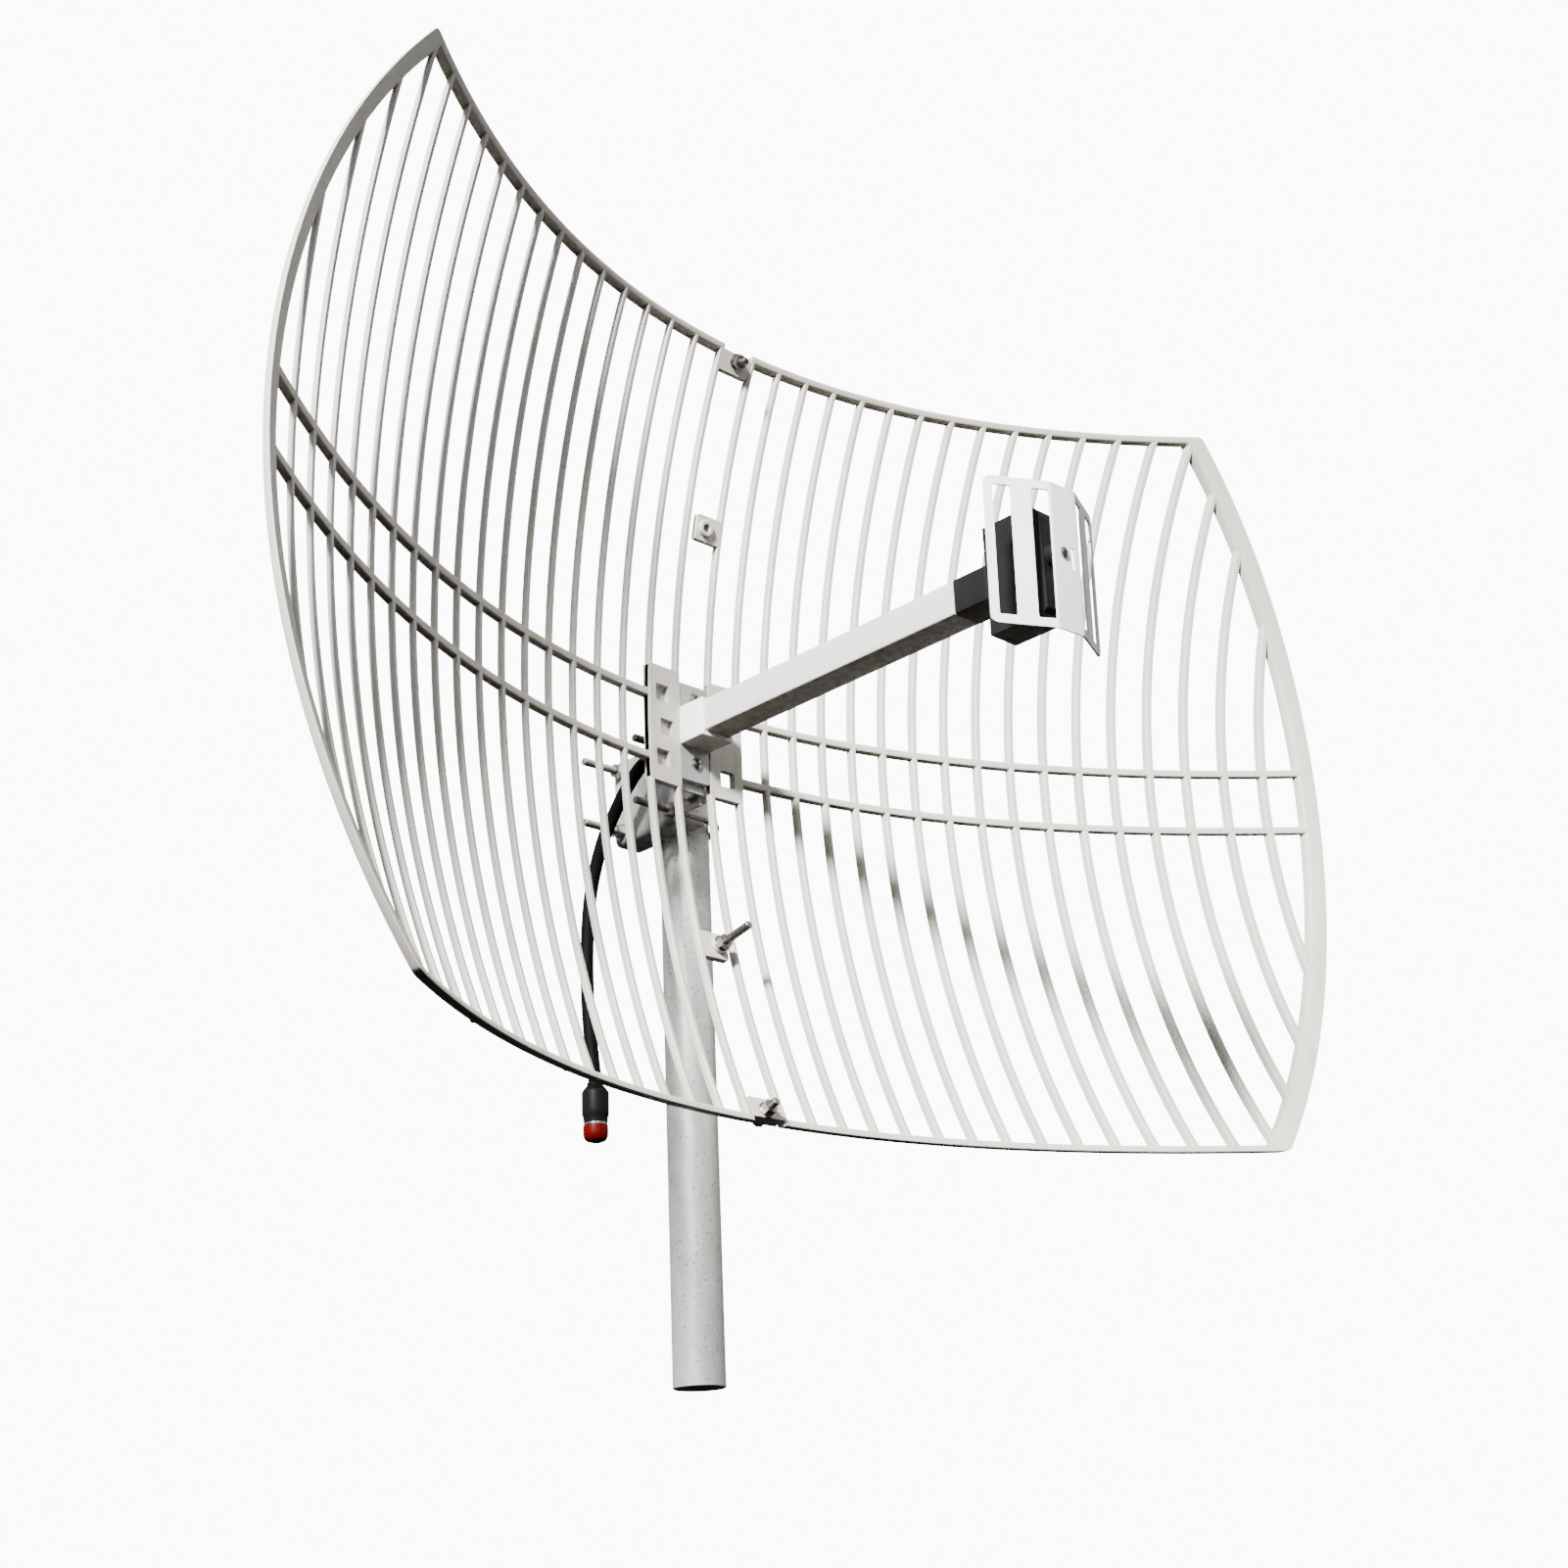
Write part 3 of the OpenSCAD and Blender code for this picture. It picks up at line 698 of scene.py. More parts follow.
def add_bars(shape):
    outline = rectangle(-BAR_W / 2, BAR_W / 2, 0, BAR_D, BAR_EDGE)
    steps = 44
    for n in range(BARS):
        x0 = bar_x(n)
        top = min(HALF_H - RAIL_BITE, math.sqrt((RIM_R - RIM_BITE) ** 2 - x0 * x0))
        rings = []
        for i in range(steps + 1):
            z = -top + 2 * top * i / steps
            rings.append([behind(-x0 + u, z, d) for u, d in outline])
        shape.loft(rings)


def rail_path():
    """Outer and inner points of the frame of one half, from seam to seam."""
    inner_h = HALF_H - RAIL_H
    inner_r = RIM_R - END_W
    cz = HALF_H - CORNER_R
    cx = math.sqrt((RIM_R - CORNER_R) ** 2 - cz * cz)
    small = INNER_CORNER_R
    iz = inner_h - small
    ix = math.sqrt((inner_r - small) ** 2 - iz * iz)
    rail_steps, corner_steps, end_steps = 30, 8, 24
    lean = math.atan2(cz, cx)
    inner_lean = math.atan2(iz, ix)
    path = []
    for i in range(rail_steps):
        f = i / rail_steps
        outer = (-SEAM_EDGE - f * (cx - SEAM_EDGE), HALF_H)
        path.append((outer, (-SEAM_EDGE - f * (ix - SEAM_EDGE), inner_h)))
    for i in range(corner_steps + 1):
        f = i / corner_steps
        a = math.pi / 2 + f * (math.pi / 2 - lean)
        b = math.pi / 2 + f * (math.pi / 2 - inner_lean)
        outer = (-cx + CORNER_R * math.cos(a), cz + CORNER_R * math.sin(a))
        path.append((outer, (-ix + small * math.cos(b), iz + small * math.sin(b))))
    for i in range(1, end_steps + 1):
        f = i / end_steps
        a = math.pi - lean * (1 - f)
        b = math.pi - inner_lean * (1 - f)
        outer = (RIM_R * math.cos(a), RIM_R * math.sin(a))
        path.append((outer, (inner_r * math.cos(b), inner_r * math.sin(b))))
    lower = [((o[0], -o[1]), (i[0], -i[1])) for o, i in path[-2::-1]]
    return path + lower


def add_frame(shape):
    """Rails and end band of one half, drawn along one path."""
    rings = []
    for outer, inner in rail_path():
        o, i = Vector(outer), Vector(inner)
        width = (i - o).length
        across = (i - o) / width
        outline = rectangle(0, width, 0, RAIL_D, RAIL_EDGE)
        ring = []
        for u, d in outline:
            p = o + across * u
            ring.append(behind(p.x, p.y, d))
        rings.append(ring)
    shape.loft(rings)


def add_ribs(shape):
    outline = rectangle(-RIB_H / 2, RIB_H / 2, 0, RAIL_D, RIB_EDGE)
    steps = 40
    for z0 in (RIB_Z, -RIB_Z):
        far = math.sqrt((RIM_R - RIM_BITE) ** 2 - z0 * z0)
        rings = []
        for i in range(steps + 1):
            x = -RIB_START - (far - RIB_START) * i / steps
            rings.append([behind(x, z0 + u, d) for u, d in outline])
        shape.loft(rings)


def add_hub_plate(shape, lift, hole_places):
    """Plate beside the seam with square holes, flat behind and curved in front."""
    left = -bar_x(1) - BAR_W / 2
    outline = rectangle(left, -SEAM_EDGE, lift - HUB_H / 2, lift + HUB_H / 2, 1.5, 2)
    h = SQUARE_HALF
    holes = [
        rectangle(x - h, x + h, lift + z - h, lift + z + h, 0.8, 2) for x, z in hole_places
    ]
    sheet(
        shape, outline, holes, 0, 1,
        lambda x, z, t: Vector((x, BACK_Y if t else behind(x, z, 0).y, z)),
    )


def add_seam_lugs(shape):
    """Two bolted lugs at the ends of the seam, and the tab with its round boss."""
    for side, d in ((1, 0), (-1, LUG_T)):
        z0, z1 = sorted((side * (HALF_H - LUG_H), side * (HALF_H - 4)))
        outline = rectangle(-FIRST_BAR, LUG_REACH, z0, z1, 1.5, 3)
        sheet(shape, outline, [circle(HOLE_R, 24, 0, side * LUG_Z)], d, d + LUG_T, on_arc)
    outline = rectangle(-FIRST_BAR, TAB_REACH, -TAB_Z - TAB_HALF, -TAB_Z + TAB_HALF, 2, 3)
    sheet(shape, outline, [circle(HOLE_R, 24, 0, -TAB_Z)], 0, TAB_T, on_arc)
    profile = [
        (HOLE_R, -3.4), (HOLE_R, 2.6), (3.6, BOSS_H), (5.9, BOSS_H), (6.5, 2.2), (6.5, -3.4),
    ]
    lathe(shape, profile, on_seam(-TAB_Z, 0), 40, hollow=True)


def add_ejector_marks(shape):
    """Small round pads that a die casting keeps on the back of its rails."""
    disc = [(0.05, -0.5), (2.2, -0.5), (2.2, 0.2), (2.0, 0.35), (0.05, 0.35)]
    for x in MARK_XS:
        for side in (1, -1):
            z = side * (HALF_H - RAIL_H / 2)
            at = behind(x, z, RAIL_D)
            lathe(shape, disc, move(at.x, at.y, at.z) @ turn(-90, "X"), 20)


def build_half(name, node, lift, holes, flip):
    """One cast half; the right one is the left one turned round, with its own holes."""
    shape = Shape()
    add_bars(shape)
    add_frame(shape)
    add_ribs(shape)
    add_hub_plate(shape, lift, holes)
    add_seam_lugs(shape)
    add_ejector_marks(shape)
    if flip:
        about = turn(180, "Y")
        shape.verts = [about @ v for v in shape.verts]
    piece(name, shape, "dish", CASTING, [node], "casting", bevel=0.35)


build_half("grid_left", "reflector_left", HUB_Z, LEFT_HOLES, False)
build_half("grid_right", "reflector_right", -HUB_Z, RIGHT_HOLES, True)


def build_seam_fasteners():
    bolts, nuts, washers = Shape(), Shape(), Shape()
    stack = (
        (LUG_Z, 2 * LUG_T, 0, LUG_BOLT),
        (-LUG_Z, 2 * LUG_T, 0, LUG_BOLT),
        (-TAB_Z, TAB_T, -BOSS_H, TAB_BOLT),
    )
    for z, back, front, reach in stack:
        hex_head(bolts, on_seam(z, back) @ turn(30, "Z"))
        thread(bolts, on_seam(z, back), BOLT_R, 0.2, back - front + reach - 0.6)
        washer(washers, on_seam(z, front - SEAT_GAP))
        hex_nut(nuts, on_seam(z, front - SEAT_GAP - WASHER_T) @ turn(12, "Z"))
    piece("seam_bolts", bolts, "dish", BOLT_ZINC, ["lug_bolts"], "fasteners")
    piece("seam_nuts", nuts, "dish", BOLT_ZINC, ["lug_nuts"], "fasteners")
    piece("seam_washers", washers, "dish", BOLT_ZINC, ["lug_washers"], "fasteners")


build_seam_fasteners()


# ---------------------------------------------------------------- feed
def tube_between(shape, outer, inner, y0, y1, r, edge, drop=0):
    """Square tube along Y with rounded corners and eased ends; drop lowers its outside."""
    rings = []
    for half, y, radius, low in (
        (outer / 2 - edge, y0, r, drop), (outer / 2, y0 + edge, r, drop),
        (outer / 2, y1 - edge, r, drop), (outer / 2 - edge, y1, r, drop),
        (inner / 2, y1, 0.6, 0), (inner / 2, y0, 0.6, 0),
    ):
        ring = rectangle(-half, half, -half, half, radius, 4)
        rings.append([(x, y, ARM_Z - low + z) for x, z in ring])
    shape.loft(rings, loop=True)


def build_feed_base():
    """Block on the hub plates, collar of the arm, and the screws behind them."""
    block = Shape()
    outline = rectangle(-BASE_HALF_W, BASE_HALF_W, *BASE_ZS, 1.2, 2)
    holes = [circle(BASE_SCREW_R, 20, 0, z) for z in BASE_SCREWS]
    sheet(block, outline, holes, BASE_FRONT, BACK_Y, lambda x, z, t: (x, t, z))
    piece("feed_base_block", block, "dish", SHEET_ZINC, ["feed_base"], "casting", bevel=0.8)
    collar = Shape()
    tube_between(collar, COLLAR_S, ARM_S + 0.2, COLLAR_Y, BASE_FRONT, 1.4, 0.4, COLLAR_DROP)
    piece("feed_base_collar", collar, "dish", WHITE_SHEET, [], "casting")
    screws, nuts = Shape(), Shape()
    for z in BASE_SCREWS:
        seat = move(0, BASE_FRONT, z) @ turn(-90, "X") @ turn(20, "Z")
        cross_screw(screws, seat, 4.5, 3, 2.5, 14)
        hex_nut(nuts, move(0, BACK_Y + SHEET, z) @ turn(-90, "X"), 2.5, 8, 4)
    piece("base_screws", screws, "dish", BOLT_ZINC, ["feed_base_screws"], "fasteners")
    piece("base_nuts", nuts, "dish", BOLT_ZINC, ["feed_base_nuts"], "fasteners")
    hub = Shape()
    for z in HUB_SCREWS:
        cross_screw(hub, move(-38, BACK_Y + SHEET, z) @ turn(90, "X"), 3.8, 2.5, 2, 7.3)
    piece("hub_plate_screws", hub, "dish", BOLT_ZINC, ["hub_screws"], "fasteners")


def build_arm():
    """Square tube and the black sleeve plugged into its end."""
    arm, sleeve = Shape(), Shape()
    tube_between(arm, ARM_S, ARM_S - 2 * ARM_WALL, SLEEVE_Y, BASE_FRONT, 1.8, 0.15)
    piece("arm_tube", arm, "dish", ARM_METAL, ["feed_arm"], "arm_aluminium")
    tube_between(sleeve, ARM_S, 15, HOUSING_Y, SLEEVE_Y - 0.2, 1.2, 0.6)
    tube_between(sleeve, ARM_S - 3.2, 15, SLEEVE_Y - 0.5, SLEEVE_Y + 12.8, 1.0, 0.5)
    piece("arm_sleeve", sleeve, "dish", BLACK_PLASTIC, ["feed_sleeve"], "black_plastic")


def at_focus():
    """Frame of the sub-reflector: X across, Y along the arm."""
    return move(0, FOCUS_Y, ARM_Z - SUB_DROP) @ turn(SUB_ROLL, "Y") @ turn(SUB_TILT, "X")


def build_housing():
    """Box with a rounded front top corner, a lid line and the round boss."""
    y0, r = HOUSING_Y - HOUSING_L, HOUSING_R
    z0, z1 = HOUSING_ZS
    corner = [
        (y0 + r - r * math.cos(a), z1 - r + r * math.sin(a))
        for a in (math.pi / 2 * i / 8 for i in range(9))
    ]
    outline = [(HOUSING_Y, z0), (HOUSING_Y, z1), *corner[::-1], (y0, z0 + 3), (y0 + 3, z0)]
    box = Shape()
    place = Matrix(((0, 0, 1, 0), (1, 0, 0, 0), (0, 1, 0, 0), (0, 0, 0, 1)))
    gap = 0.25
    sheet(box, outline, [], -HOUSING_HALF_W, -gap, place=place)
    sheet(box, outline, [], gap, HOUSING_HALF_W, place=place)
    inset = [(y * 0.985 - 4.9, z * 0.97 + 0.2) for y, z in outline]
    sheet(box, inset, [], -1, 1, place=place)
    piece(
        "housing_shell", box, "dish", BLACK_PLASTIC, ["feed_housing"], "black_plastic", bevel=0.9
    )
    boss = Shape()
    profile = [(0.05, 15), (8.2, 15), (7.5, 6), (7.5, 1.6), (7.1, 1.0), (0.05, 1.0)]
    lathe(boss, profile, at_focus() @ move(*SUB_SCREW) @ turn(-90, "X"), 48)
    piece("housing_boss", boss, "dish", BLACK_PLASTIC, [], "black_plastic")


def build_sub_reflector():
    """Bent sheet: two wings, each with two tall windows, and a flat centre."""
    trim = SUB_BEND_R * math.tan(math.radians(SUB_ANGLE / 2))
    run, centre = SUB_WING - trim, 2 * (SUB_FLAT - trim)
    fold = Fold(
        (-SUB_FLAT - SUB_WING * math.cos(math.radians(SUB_ANGLE)),
         SUB_WING * math.sin(math.radians(SUB_ANGLE))),
        -SUB_ANGLE,
        [("run", run), ("bend", SUB_ANGLE, SUB_BEND_R), ("run", centre),
         ("bend", SUB_ANGLE, SUB_BEND_R), ("run", run)],
    )
    length, mid = fold.length, fold.length / 2
    wing = 1 / math.cos(math.radians(SUB_ANGLE))
    holes = []
    ends = (-WINDOW_HALF_H, WINDOW_HALF_H)
    for side in (1, -1):
        for c in WINDOW_XS:
            s = mid + side * (SUB_FLAT + (c - SUB_FLAT) * wing)
            half = WINDOW_W / 2 * wing
            holes.append(rectangle(s - half, s + half, *ends, 1.2, 3))
    # a short slot beside the screw, and a narrow one near the edge of a wing
    holes.append(rectangle(mid + 5.2, mid + 7.8, -6.5, 8.5, 1.0, 3))
    holes.append(rectangle(length - 7.5, length - 5.5, 30, 39, 0.8, 2))
    outline = rectangle(0, length, -SUB_HALF_H, SUB_HALF_H, 5, 6)
    shape = Shape()

    def bend(s, z, t):
        p = fold.at(s, t)
        return (p.x, p.y, z)

    sheet(shape, outline, holes, -SUB_T / 2, SUB_T / 2, bend, fold.cuts)
    place = at_focus()
    shape.verts = [place @ v for v in shape.verts]
    piece("sub_sheet", shape, "dish", WHITE_SHEET, ["sub_reflector"], "sub_sheet", bevel=0.25)
    screw = Shape()
    seat = place @ move(SUB_SCREW[0], -SUB_T / 2, SUB_SCREW[2])
    cross_screw(screw, seat @ turn(-90, "X"), 3.5, 2, 1.5, 8.8)
    piece("sub_screw", screw, "dish", BOLT_ZINC, ["sub_reflector_screw"], "fasteners")


build_feed_base()
build_arm()
build_housing()
build_sub_reflector()


# ---------------------------------------------------------------- brackets
def arc_slot(cx, cy, radius, half, a0, a1, steps=10):
    """Outline of a curved slot below (cx, cy); angles swing towards +X."""
    def at(r, a):
        a = math.radians(a)
        return (cx + r * math.sin(a), cy - r * math.cos(a))

    def cap(a, first):
        """Half circle round one end, starting at the given angle from the arm."""
        mx, my = at(radius, a)
        turns = [math.radians(a + first + 22.5 * i) for i in range(1, 8)]
        return [(mx + half * math.sin(b), my - half * math.cos(b)) for b in turns]

    outer = [at(radius + half, a0 + (a1 - a0) * i / steps) for i in range(steps + 1)]
    inner = [at(radius - half, a1 + (a0 - a1) * i / steps) for i in range(steps + 1)]
    return outer + cap(a1, 0) + inner + cap(a0, 180)


def build_tilt_bracket():
    """Folded L: a plate behind the hub and a side flange with the lock slot."""
    r = FOLD_R
    side_mid = WEB_X - SLIP - SHEET / 2
    plate_mid = BACK_Y + SHEET / 2
    run = side_mid - r + PLATE_X
    steps = [("run", run), ("bend", 90, r), ("run", 32 - plate_mid - r)]
    fold = Fold((-PLATE_X, plate_mid), 0, steps)
    end = fold.length
    bend_end = run + math.pi / 2 * r
    outline = [
        (0, -42), (bend_end, -42), (bend_end, -48), (end - 6, -48), (end, -42), (end, 18),
        (end - 6, 24), (bend_end, 24), (run, 26), (run, 40), (0, 40),
    ]

    def beside(y):
        return bend_end + y - plate_mid - r

    pivot = (beside(TILT_Y), TILT_ZS[0])
    holes = [circle(BASE_SCREW_R, 20, PLATE_X, z) for z in BASE_SCREWS]
    holes += [circle(2.1, 20, 2, z) for z in HUB_SCREWS]
    holes.append(circle(5.6, 28, PLATE_X, 4))
    holes.append(circle(TILT_HOLE_R, 28, *pivot))
    holes.append(arc_slot(*pivot, SLOT_R, HOLE_R, *SLOT_ANGLES))
    shape = Shape()

    def bend(s, z, t):
        p = fold.at(s, t)
        return (p.x, p.y, z)

    sheet(shape, outline, holes, -SHEET / 2, SHEET / 2, bend, fold.cuts)
    piece("tilt_plate", shape, "dish", SHEET_ZINC, ["tilt_bracket"], "bracket_steel", bevel=0.4)


def toothed_edge(s_edge, sign):
    """Points of the toothed V in a flange, from low y to high y."""
    grip = MAST_R + SLIP
    apex = MAST_X - grip / math.cos(math.radians(30))
    deep = FLANGE_X - apex
    teeth = 5
    points = []
    for i in range(2 * teeth + 1):
        dx = deep - i * deep / (2 * teeth)
        cut = 1.5 if i % 2 else 0
        x = apex + dx - cut * math.cos(math.radians(30))
        points.append((x, (dx + cut / 2) / math.tan(math.radians(30))))
    half = [(s_edge - sign * (FLANGE_X - x), y) for x, y in points]
    low = [(s, MAST_Y - y) for s, y in half]
    high = [(s, MAST_Y + y) for s, y in half[::-1]]
    return low + high[1:]


def build_mast_bracket():
    """Channel folded from one sheet: web towards the dish, two toothed flanges."""
    r = FOLD_R
    low, high = CHANNEL_ZS[0] + SHEET / 2, CHANNEL_ZS[1] - SHEET / 2
    web_mid = WEB_X + SHEET / 2
    run = FLANGE_X - web_mid - r
    tall = high - low - 2 * r
    fold = Fold(
        (FLANGE_X, high), 180,
        [("run", run), ("bend", 90, r), ("run", tall), ("bend", 90, r), ("run", run)],
    )
    end = fold.length
    web0 = run + math.pi / 2 * r
    web1 = web0 + tall
    top_edge = toothed_edge(0, -1)
    low_edge = toothed_edge(end, 1)[::-1]
    outline = [
        (0, 34), *top_edge, (0, 110), (end, 110), *low_edge, (end, 34), (web1 + 2, 34),
        (web1, 26), (web1 - 4, 9.5), (web0 + 3, 9.5), (web0, 14), (web0 - 2, 34),
    ]

    def down(z):
        return web0 + high - r - z

    holes = [circle(HOLE_R, 24, down(z), MAST_Y + s * U_HALF) for z in U_ZS for s in (1, -1)]
    holes += [circle(TILT_HOLE_R, 24, down(z), TILT_Y) for z in TILT_ZS]
    shape = Shape()

    def bend(s, y, t):
        p = fold.at(s, t)
        return (p.x, y, p.y)

    sheet(shape, outline, holes, -SHEET / 2, SHEET / 2, bend, fold.cuts)
    piece("mast_channel", shape, "clamp", SHEET_ZINC, ["mast_bracket"], "bracket_steel", bevel=0.4)


def add_u_bolt(rods, threads, z):
    """Bent rod round the mast at height z, and the threads on both its legs."""
    centre = MAST_X + MAST_R + SLIP + BOLT_R - U_HALF
    start = WEB_X + 6
    path = [(start + (centre - start) * i / 3, MAST_Y - U_HALF) for i in range(3)]
    path += [
        (centre + U_HALF * math.sin(a), MAST_Y - U_HALF * math.cos(a))
        for a in (math.pi * i / 24 for i in range(25))
    ]
    path += [(centre + (start - centre) * i / 3, MAST_Y + U_HALF) for i in (1, 2, 3)]
    rings = []
    for i, (x, y) in enumerate(path):
        before, after = path[max(i - 1, 0)], path[min(i + 1, len(path) - 1)]
        along = Vector((after[0] - before[0], after[1] - before[1], 0)).normalized()
        out = Vector((along.y, -along.x, 0))
        rings.append([
            Vector((x, y, z)) + out * u + Vector((0, 0, v)) for u, v in circle(U_ROD_R, 20)
        ])
    rods.loft(rings)
    for s in (1, -1):
        place = move(start + 0.5, MAST_Y + s * U_HALF, z) @ turn(-90, "Y")
        thread(threads, place, BOLT_R, 0, start - U_END)


def build_clamp():
    """U-bolts with their nuts, and the pivot and lock bolts of the tilt."""
    rods, threads, nuts, washers = Shape(), Shape(), Shape(), Shape()
    for z in U_ZS:
        add_u_bolt(rods, threads, z)
        for s in (1, -1):
            leg = move(WEB_X, MAST_Y + s * U_HALF, z) @ turn(-90, "Y")
            washer(washers, leg)
            hex_nut(nuts, leg @ move(0, 0, WASHER_T) @ turn(15 + 20 * s, "Z"))
    piece("u_rods", rods, "clamp", BOLT_ZINC, ["u_bolts"], "fasteners")
    piece("u_threads", threads, "clamp", DARK_THREAD, [], "fasteners")
    piece("u_nuts", nuts, "clamp", BOLT_ZINC, ["u_bolt_nuts"], "fasteners")
    piece("u_washers", washers, "clamp", BOLT_ZINC, ["u_bolt_washers"], "fasteners")
    bolts, pair_nuts, pair_washers = [Shape(), Shape()], Shape(), Shape()
    start = WEB_X - SLIP - SHEET - FLANGE_GAP - WASHER_T
    for bolt, z in zip(bolts, TILT_ZS):
        along = move(start, TILT_Y, z) @ turn(90, "Y")
        hex_head(bolt, along)
        thread(bolt, along, TILT_BOLT_R, 0.2, TILT_BOLT_L)
        washer(pair_washers, along)
        behind_web = move(WEB_X + SHEET, TILT_Y, z) @ turn(90, "Y")
        washer(pair_washers, behind_web)
        hex_nut(pair_nuts, behind_web @ move(0, 0, WASHER_T))
    piece("tilt_pivot_bolt", bolts[0], "clamp", BOLT_ZINC, ["pivot_bolt"], "fasteners")
    piece("tilt_lock_bolt", bolts[1], "clamp", BOLT_ZINC, ["lock_bolt"], "fasteners")
    piece("tilt_bolt_nuts", pair_nuts, "clamp", BOLT_ZINC, ["tilt_nuts"], "fasteners")
    piece("tilt_bolt_washers", pair_washers, "clamp", BOLT_ZINC, ["tilt_washers"], "fasteners")


def build_mast():
    """Welded pipe: turned tube with eased ends and the weld bead inside it."""
    shape = Shape()
    inner, e = MAST_R - MAST_WALL, 0.4
    foot = move(MAST_X, MAST_Y, -VERTEX.z)
    profile = [(inner, 0), (MAST_R - e, 0), (MAST_R, e)]
    profile += [(MAST_R, MAST_L * i / 12) for i in range(1, 12)]
    profile += [(MAST_R, MAST_L - e), (MAST_R - e, MAST_L), (inner, MAST_L)]
    lathe(shape, profile, foot, 96, hollow=True)
    bead = rectangle(-1.2, 1.2, -0.5, 0.5, 0.45, 2)
    rings = [
        [(-inner + v, u, MAST_L * f) for u, v in bead] for f in (0.002, 0.25, 0.5, 0.75, 0.998)
    ]
    shape.loft(rings, foot)
    piece("mast_tube", shape, "mast", MAST_ZINC, ["mast_pipe"], "galvanised")


build_tilt_bracket()
build_mast_bracket()
build_clamp()
build_mast()


# ---------------------------------------------------------------- cable
def spline(points, steps):
    """Catmull-Rom curve through the points."""
    points = [Vector(p) for p in points]
    first = points[0] - Vector((0, 0.008, 0))
    last = points[-1] - Vector((0, 0, 0.012))
    padded = [first, *points, last]
    line = []
    for i in range(1, len(padded) - 2):
        a, b, c, d = padded[i - 1:i + 3]
        for k in range(steps):
            t = k / steps
            line.append(0.5 * (2 * b + (c - a) * t + (2 * a - 5 * b + 4 * c - d) * t * t
                               + (3 * b - a - 3 * c + d) * t ** 3))
    return [*line, points[-1]]


def sweep(shape, line, r):
    """Round section along a line that starts along +Y and ends along -Z."""
    side = Vector((1, 0, 0))
    rings = []
    for i, p in enumerate(line):
        along = line[min(i + 1, len(line) - 1)] - line[max(i - 1, 0)]
        if i == len(line) - 1:
            along = Vector((0, 0, -1))
        if i == 0:
            along = Vector((0, 1, 0))
        up = side.cross(along).normalized()
        out = along.cross(up).normalized()
        rings.append([p + out * u + up * v for u, v in circle(r, 24)])
    shape.loft(rings)


def build_gland():
    gland = Shape()
    behind_plate = move(0, BACK_Y + SHEET, 4) @ turn(-90, "X")
    gland.loft(hex_rings(13, 4), behind_plate)
    profile = [
        (5.7, 3.5), (5.8, 4.2), (5.8, 7), (5.4, 7.4), (5.4, 8.2), (5.8, 8.6), (5.8, 12.4),
        (5.5, 14.4), (5.35, 16.6), (5.1, 17), (2, 17),
    ]
    lathe(gland, profile, behind_plate, 48)
    return piece(
        "cable_gland_nut", gland, "dish", BLACK_PLASTIC, ["cable_gland"], "black_plastic"
    )


def build_plug_part(name, profile, n, material, nodes, slot):
    """Turned part of the plug; heights run down from the end of the cable."""
    shape = Shape()
    lathe(shape, profile, move(*PLUG_AT) @ turn(180, "X"), n)
    return piece(name, shape, "dish", material, nodes, slot)


def build_plug():
    boot = [
        (4.9, 0), (5.7, 0.1), (6.0, 0.8), (6.0, 2.2), (6.6, 2.8), (7.6, 4.2), (8.8, 5.6),
        (8.9, 6), (3, 6),
    ]
    body = [
        (3, 6), (9.0, 6), (9.8, 7), (10, 8), (10, 21), (9.9, 23.6), (9.6, 24.6), (9.0, 27),
        (8.8, 29.6), (8.3, 30), (3, 30),
    ]
    ring = [(3, 30), (8.3, 30), (8.7, 30.3), (8.7, 31.7), (8.3, 32), (3, 32)]
    cap = [
        (3, 32), (8.6, 32), (9.1, 32.3), (9.2, 33), (9.2, 37.6), (8.9, 40), (8.1, 42),
        (6.9, 43.2), (5, 43.9), (2.6, 44), (0.05, 44),
    ]
    rows = (
        ("plug_boot", boot, 56, RUBBER, ["connector_boot"], "boot_rubber"),
        ("plug_body", body, 64, CONNECTOR_BLACK, ["connector_body"], "black_plastic"),
        ("plug_ring", ring, 64, RING_METAL, [], "fasteners"),
        ("plug_cap", cap, 64, RED_PLASTIC, ["dust_cap"], "red_cap"),
    )
    return [build_plug_part(*row) for row in rows]


def build_cable():
    line = spline(ROUTE, 6)
    tube = Shape()
    sweep(tube, [p / MM - VERTEX for p in line], CABLE_R)
    cable = piece("feed_cable", tube, "dish", RUBBER, ["cable"], "cable_jacket")
    [tuple(p) for p in line]
    build_gland()
    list(build_plug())


build_cable()


# ---------------------------------------------------------------- carried parts
for node_name, material in (("feed_coax", RUBBER), ("feed_dipole", BRASS)):
    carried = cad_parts[node_name]
    carried.data.materials.clear()
    carried.data.materials.append(material)


# ---------------------------------------------------------------- studio
def build_floor():
    """Pale floor well below the mast; it throws no light back on the object."""
    size, n = FLOOR_HALF, FLOOR_CELLS
    verts = [
        (size * (2 * i / n - 1), size * (2 * j / n - 1), FLOOR_Z)
        for j in range(n + 1) for i in range(n + 1)
    ]
    faces = [
        (j * (n + 1) + i, j * (n + 1) + i + 1, (j + 1) * (n + 1) + i + 1, (j + 1) * (n + 1) + i)
        for j in range(n) for i in range(n)
    ]
    mesh = bpy.data.meshes.new("floor")
    mesh.from_pydata(verts, [], faces)
    mesh.materials.append(floor_paint())
    floor = bpy.data.objects.new("floor", mesh)
    floor.visible_diffuse = False
    floor.visible_glossy = False
    bpy.context.scene.collection.objects.link(floor)


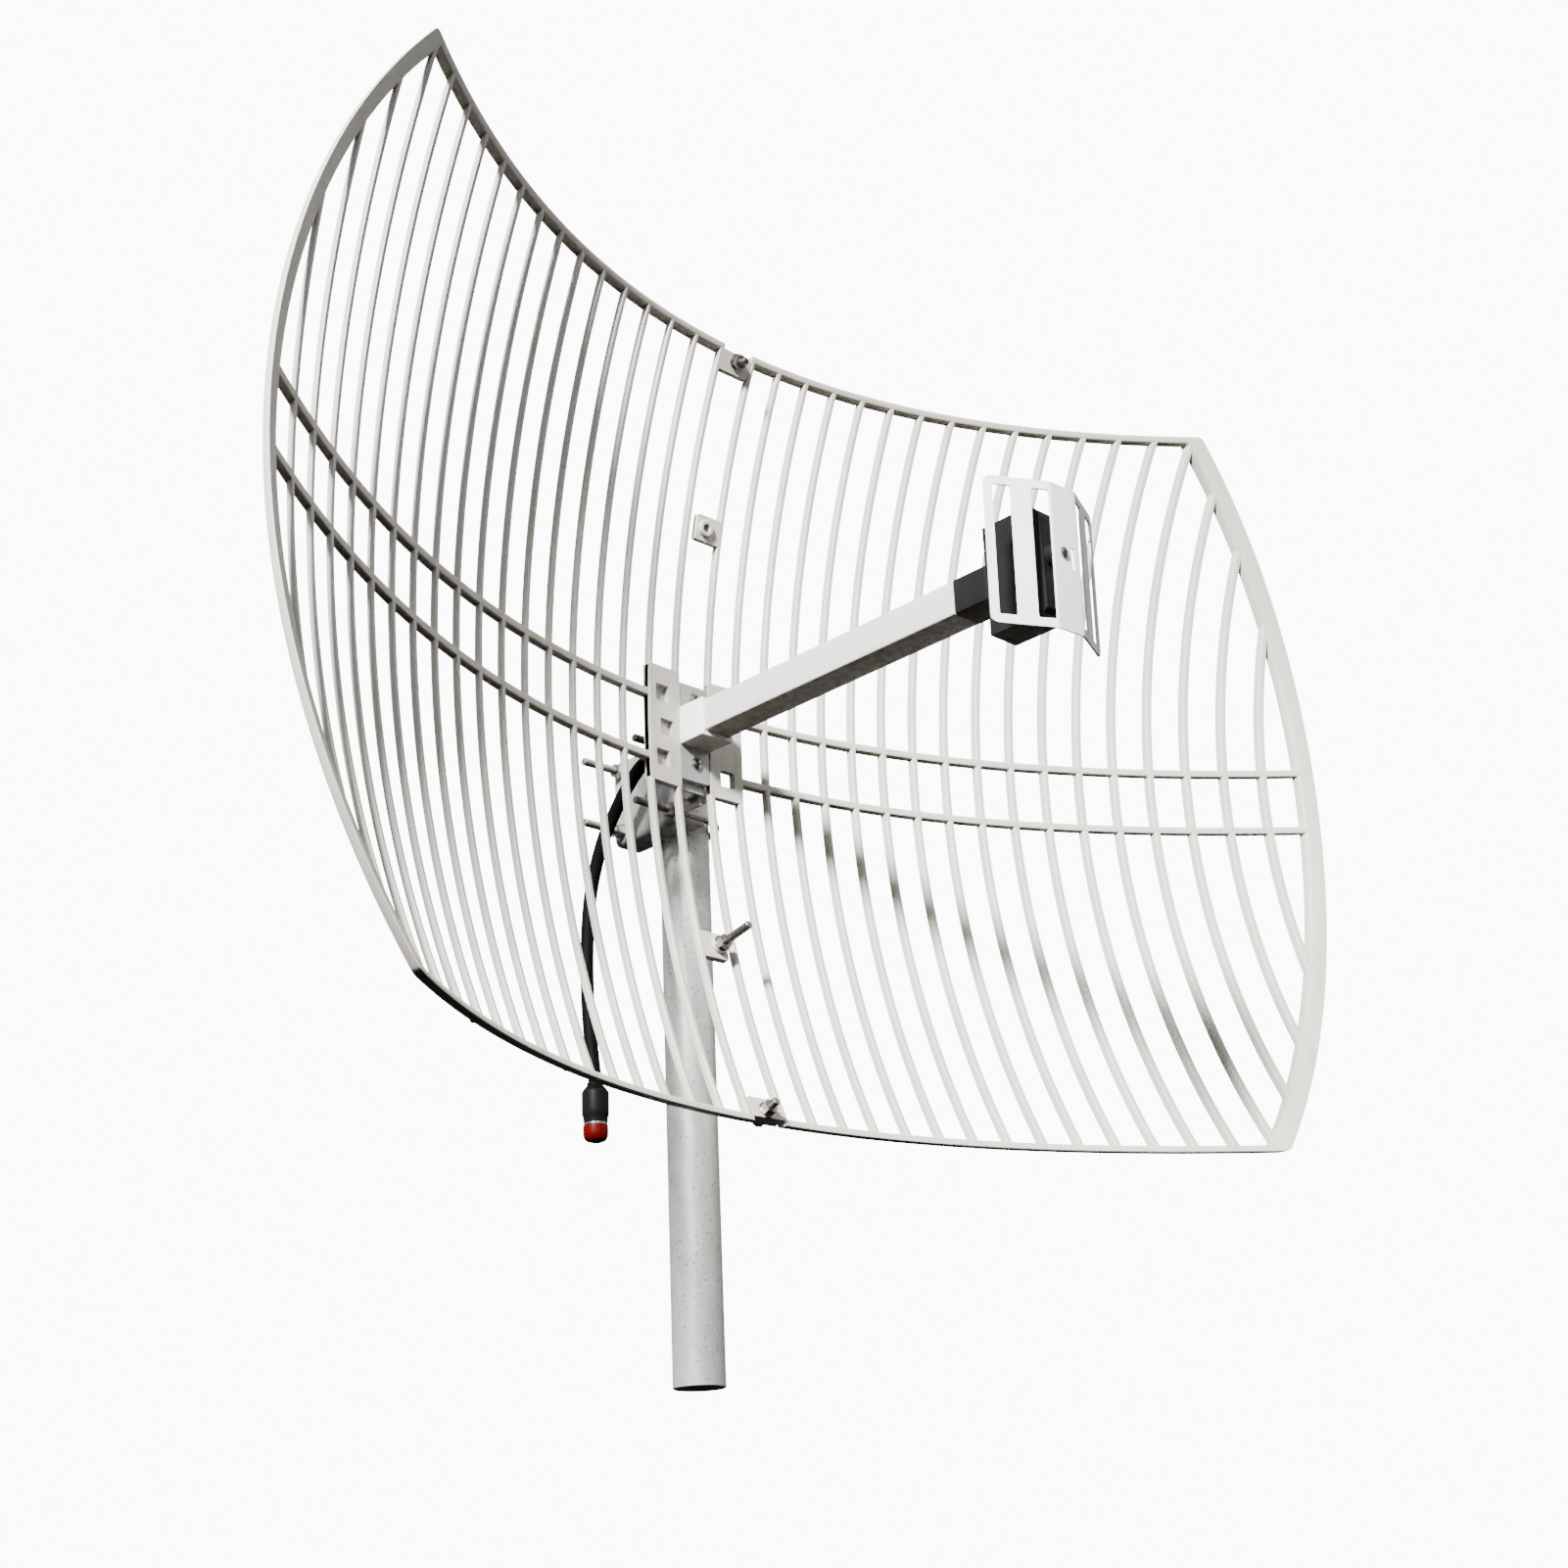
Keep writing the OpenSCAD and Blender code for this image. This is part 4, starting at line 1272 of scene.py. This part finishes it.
def area_light(name, travel, distance, size, power, color, spread):
    """Square light whose rays travel along the given direction."""
    data = bpy.data.lights.new(name, "AREA")
    data.size = size
    data.spread = math.radians(spread)
    data.energy = power
    data.color = color
    light = bpy.data.objects.new(name, data)
    aim = Vector(travel).normalized()
    light.rotation_mode = "QUATERNION"
    light.rotation_quaternion = aim.to_track_quat("-Z", "Y")
    light.location = Vector(LIT_POINT) - aim * distance
    bpy.context.scene.collection.objects.link(light)


def build_world():
    """Pale surroundings, brighter above than below, white behind the object."""
    world = bpy.data.worlds.new("studio")
    bpy.context.scene.world = world
    world.use_nodes = True
    tree = world.node_tree
    tree.nodes.clear()
    coord = tree.nodes.new("ShaderNodeTexCoord")
    split = tree.nodes.new("ShaderNodeSeparateXYZ")
    tree.links.new(coord.outputs["Generated"], split.inputs["Vector"])
    reach = tree.nodes.new("ShaderNodeMapRange")
    limits = {"From Min": -0.05, "From Max": 0.3, "To Min": 0.03, "To Max": 1.0}
    for socket, value in limits.items():
        reach.inputs[socket].default_value = value
    tree.links.new(split.outputs["Z"], reach.inputs["Value"])
    lit = tree.nodes.new("ShaderNodeBackground")
    tree.links.new(reach.outputs["Result"], lit.inputs["Strength"])
    seen = tree.nodes.new("ShaderNodeBackground")
    seen.inputs["Strength"].default_value = BACKDROP
    path = tree.nodes.new("ShaderNodeLightPath")
    mix = tree.nodes.new("ShaderNodeMixShader")
    tree.links.new(path.outputs["Is Camera Ray"], mix.inputs["Fac"])
    tree.links.new(lit.outputs["Background"], mix.inputs[1])
    tree.links.new(seen.outputs["Background"], mix.inputs[2])
    out = tree.nodes.new("ShaderNodeOutputWorld")
    tree.links.new(mix.outputs["Shader"], out.inputs["Surface"])


def build_camera():
    """Camera below the dish that looks up at it from its front left."""
    data = bpy.data.cameras.new("camera")
    data.sensor_width = 36
    data.lens = CAMERA_LENS
    camera = bpy.data.objects.new("camera", data)
    place = Matrix.Identity(4)
    axes = (Vector(CAMERA_RIGHT), Vector(CAMERA_UP), -Vector(CAMERA_AHEAD))
    for axis, direction in enumerate(axes):
        for row in range(3):
            place[row][axis] = direction[row]
    place.translation = Vector(CAMERA_AT)
    camera.matrix_world = place
    bpy.context.scene.collection.objects.link(camera)
    bpy.context.scene.camera = camera


build_floor()
area_light(
    "key", travel=(0.795, 0.39, -0.46), distance=4.0, size=0.5, power=118,
    color=(1, 0.985, 0.96), spread=60,
)
area_light(
    "fill", travel=(0.35, 0.9, -0.2), distance=3.5, size=2.0, power=7,
    color=(0.97, 0.985, 1), spread=90,
)
build_world()
build_camera()
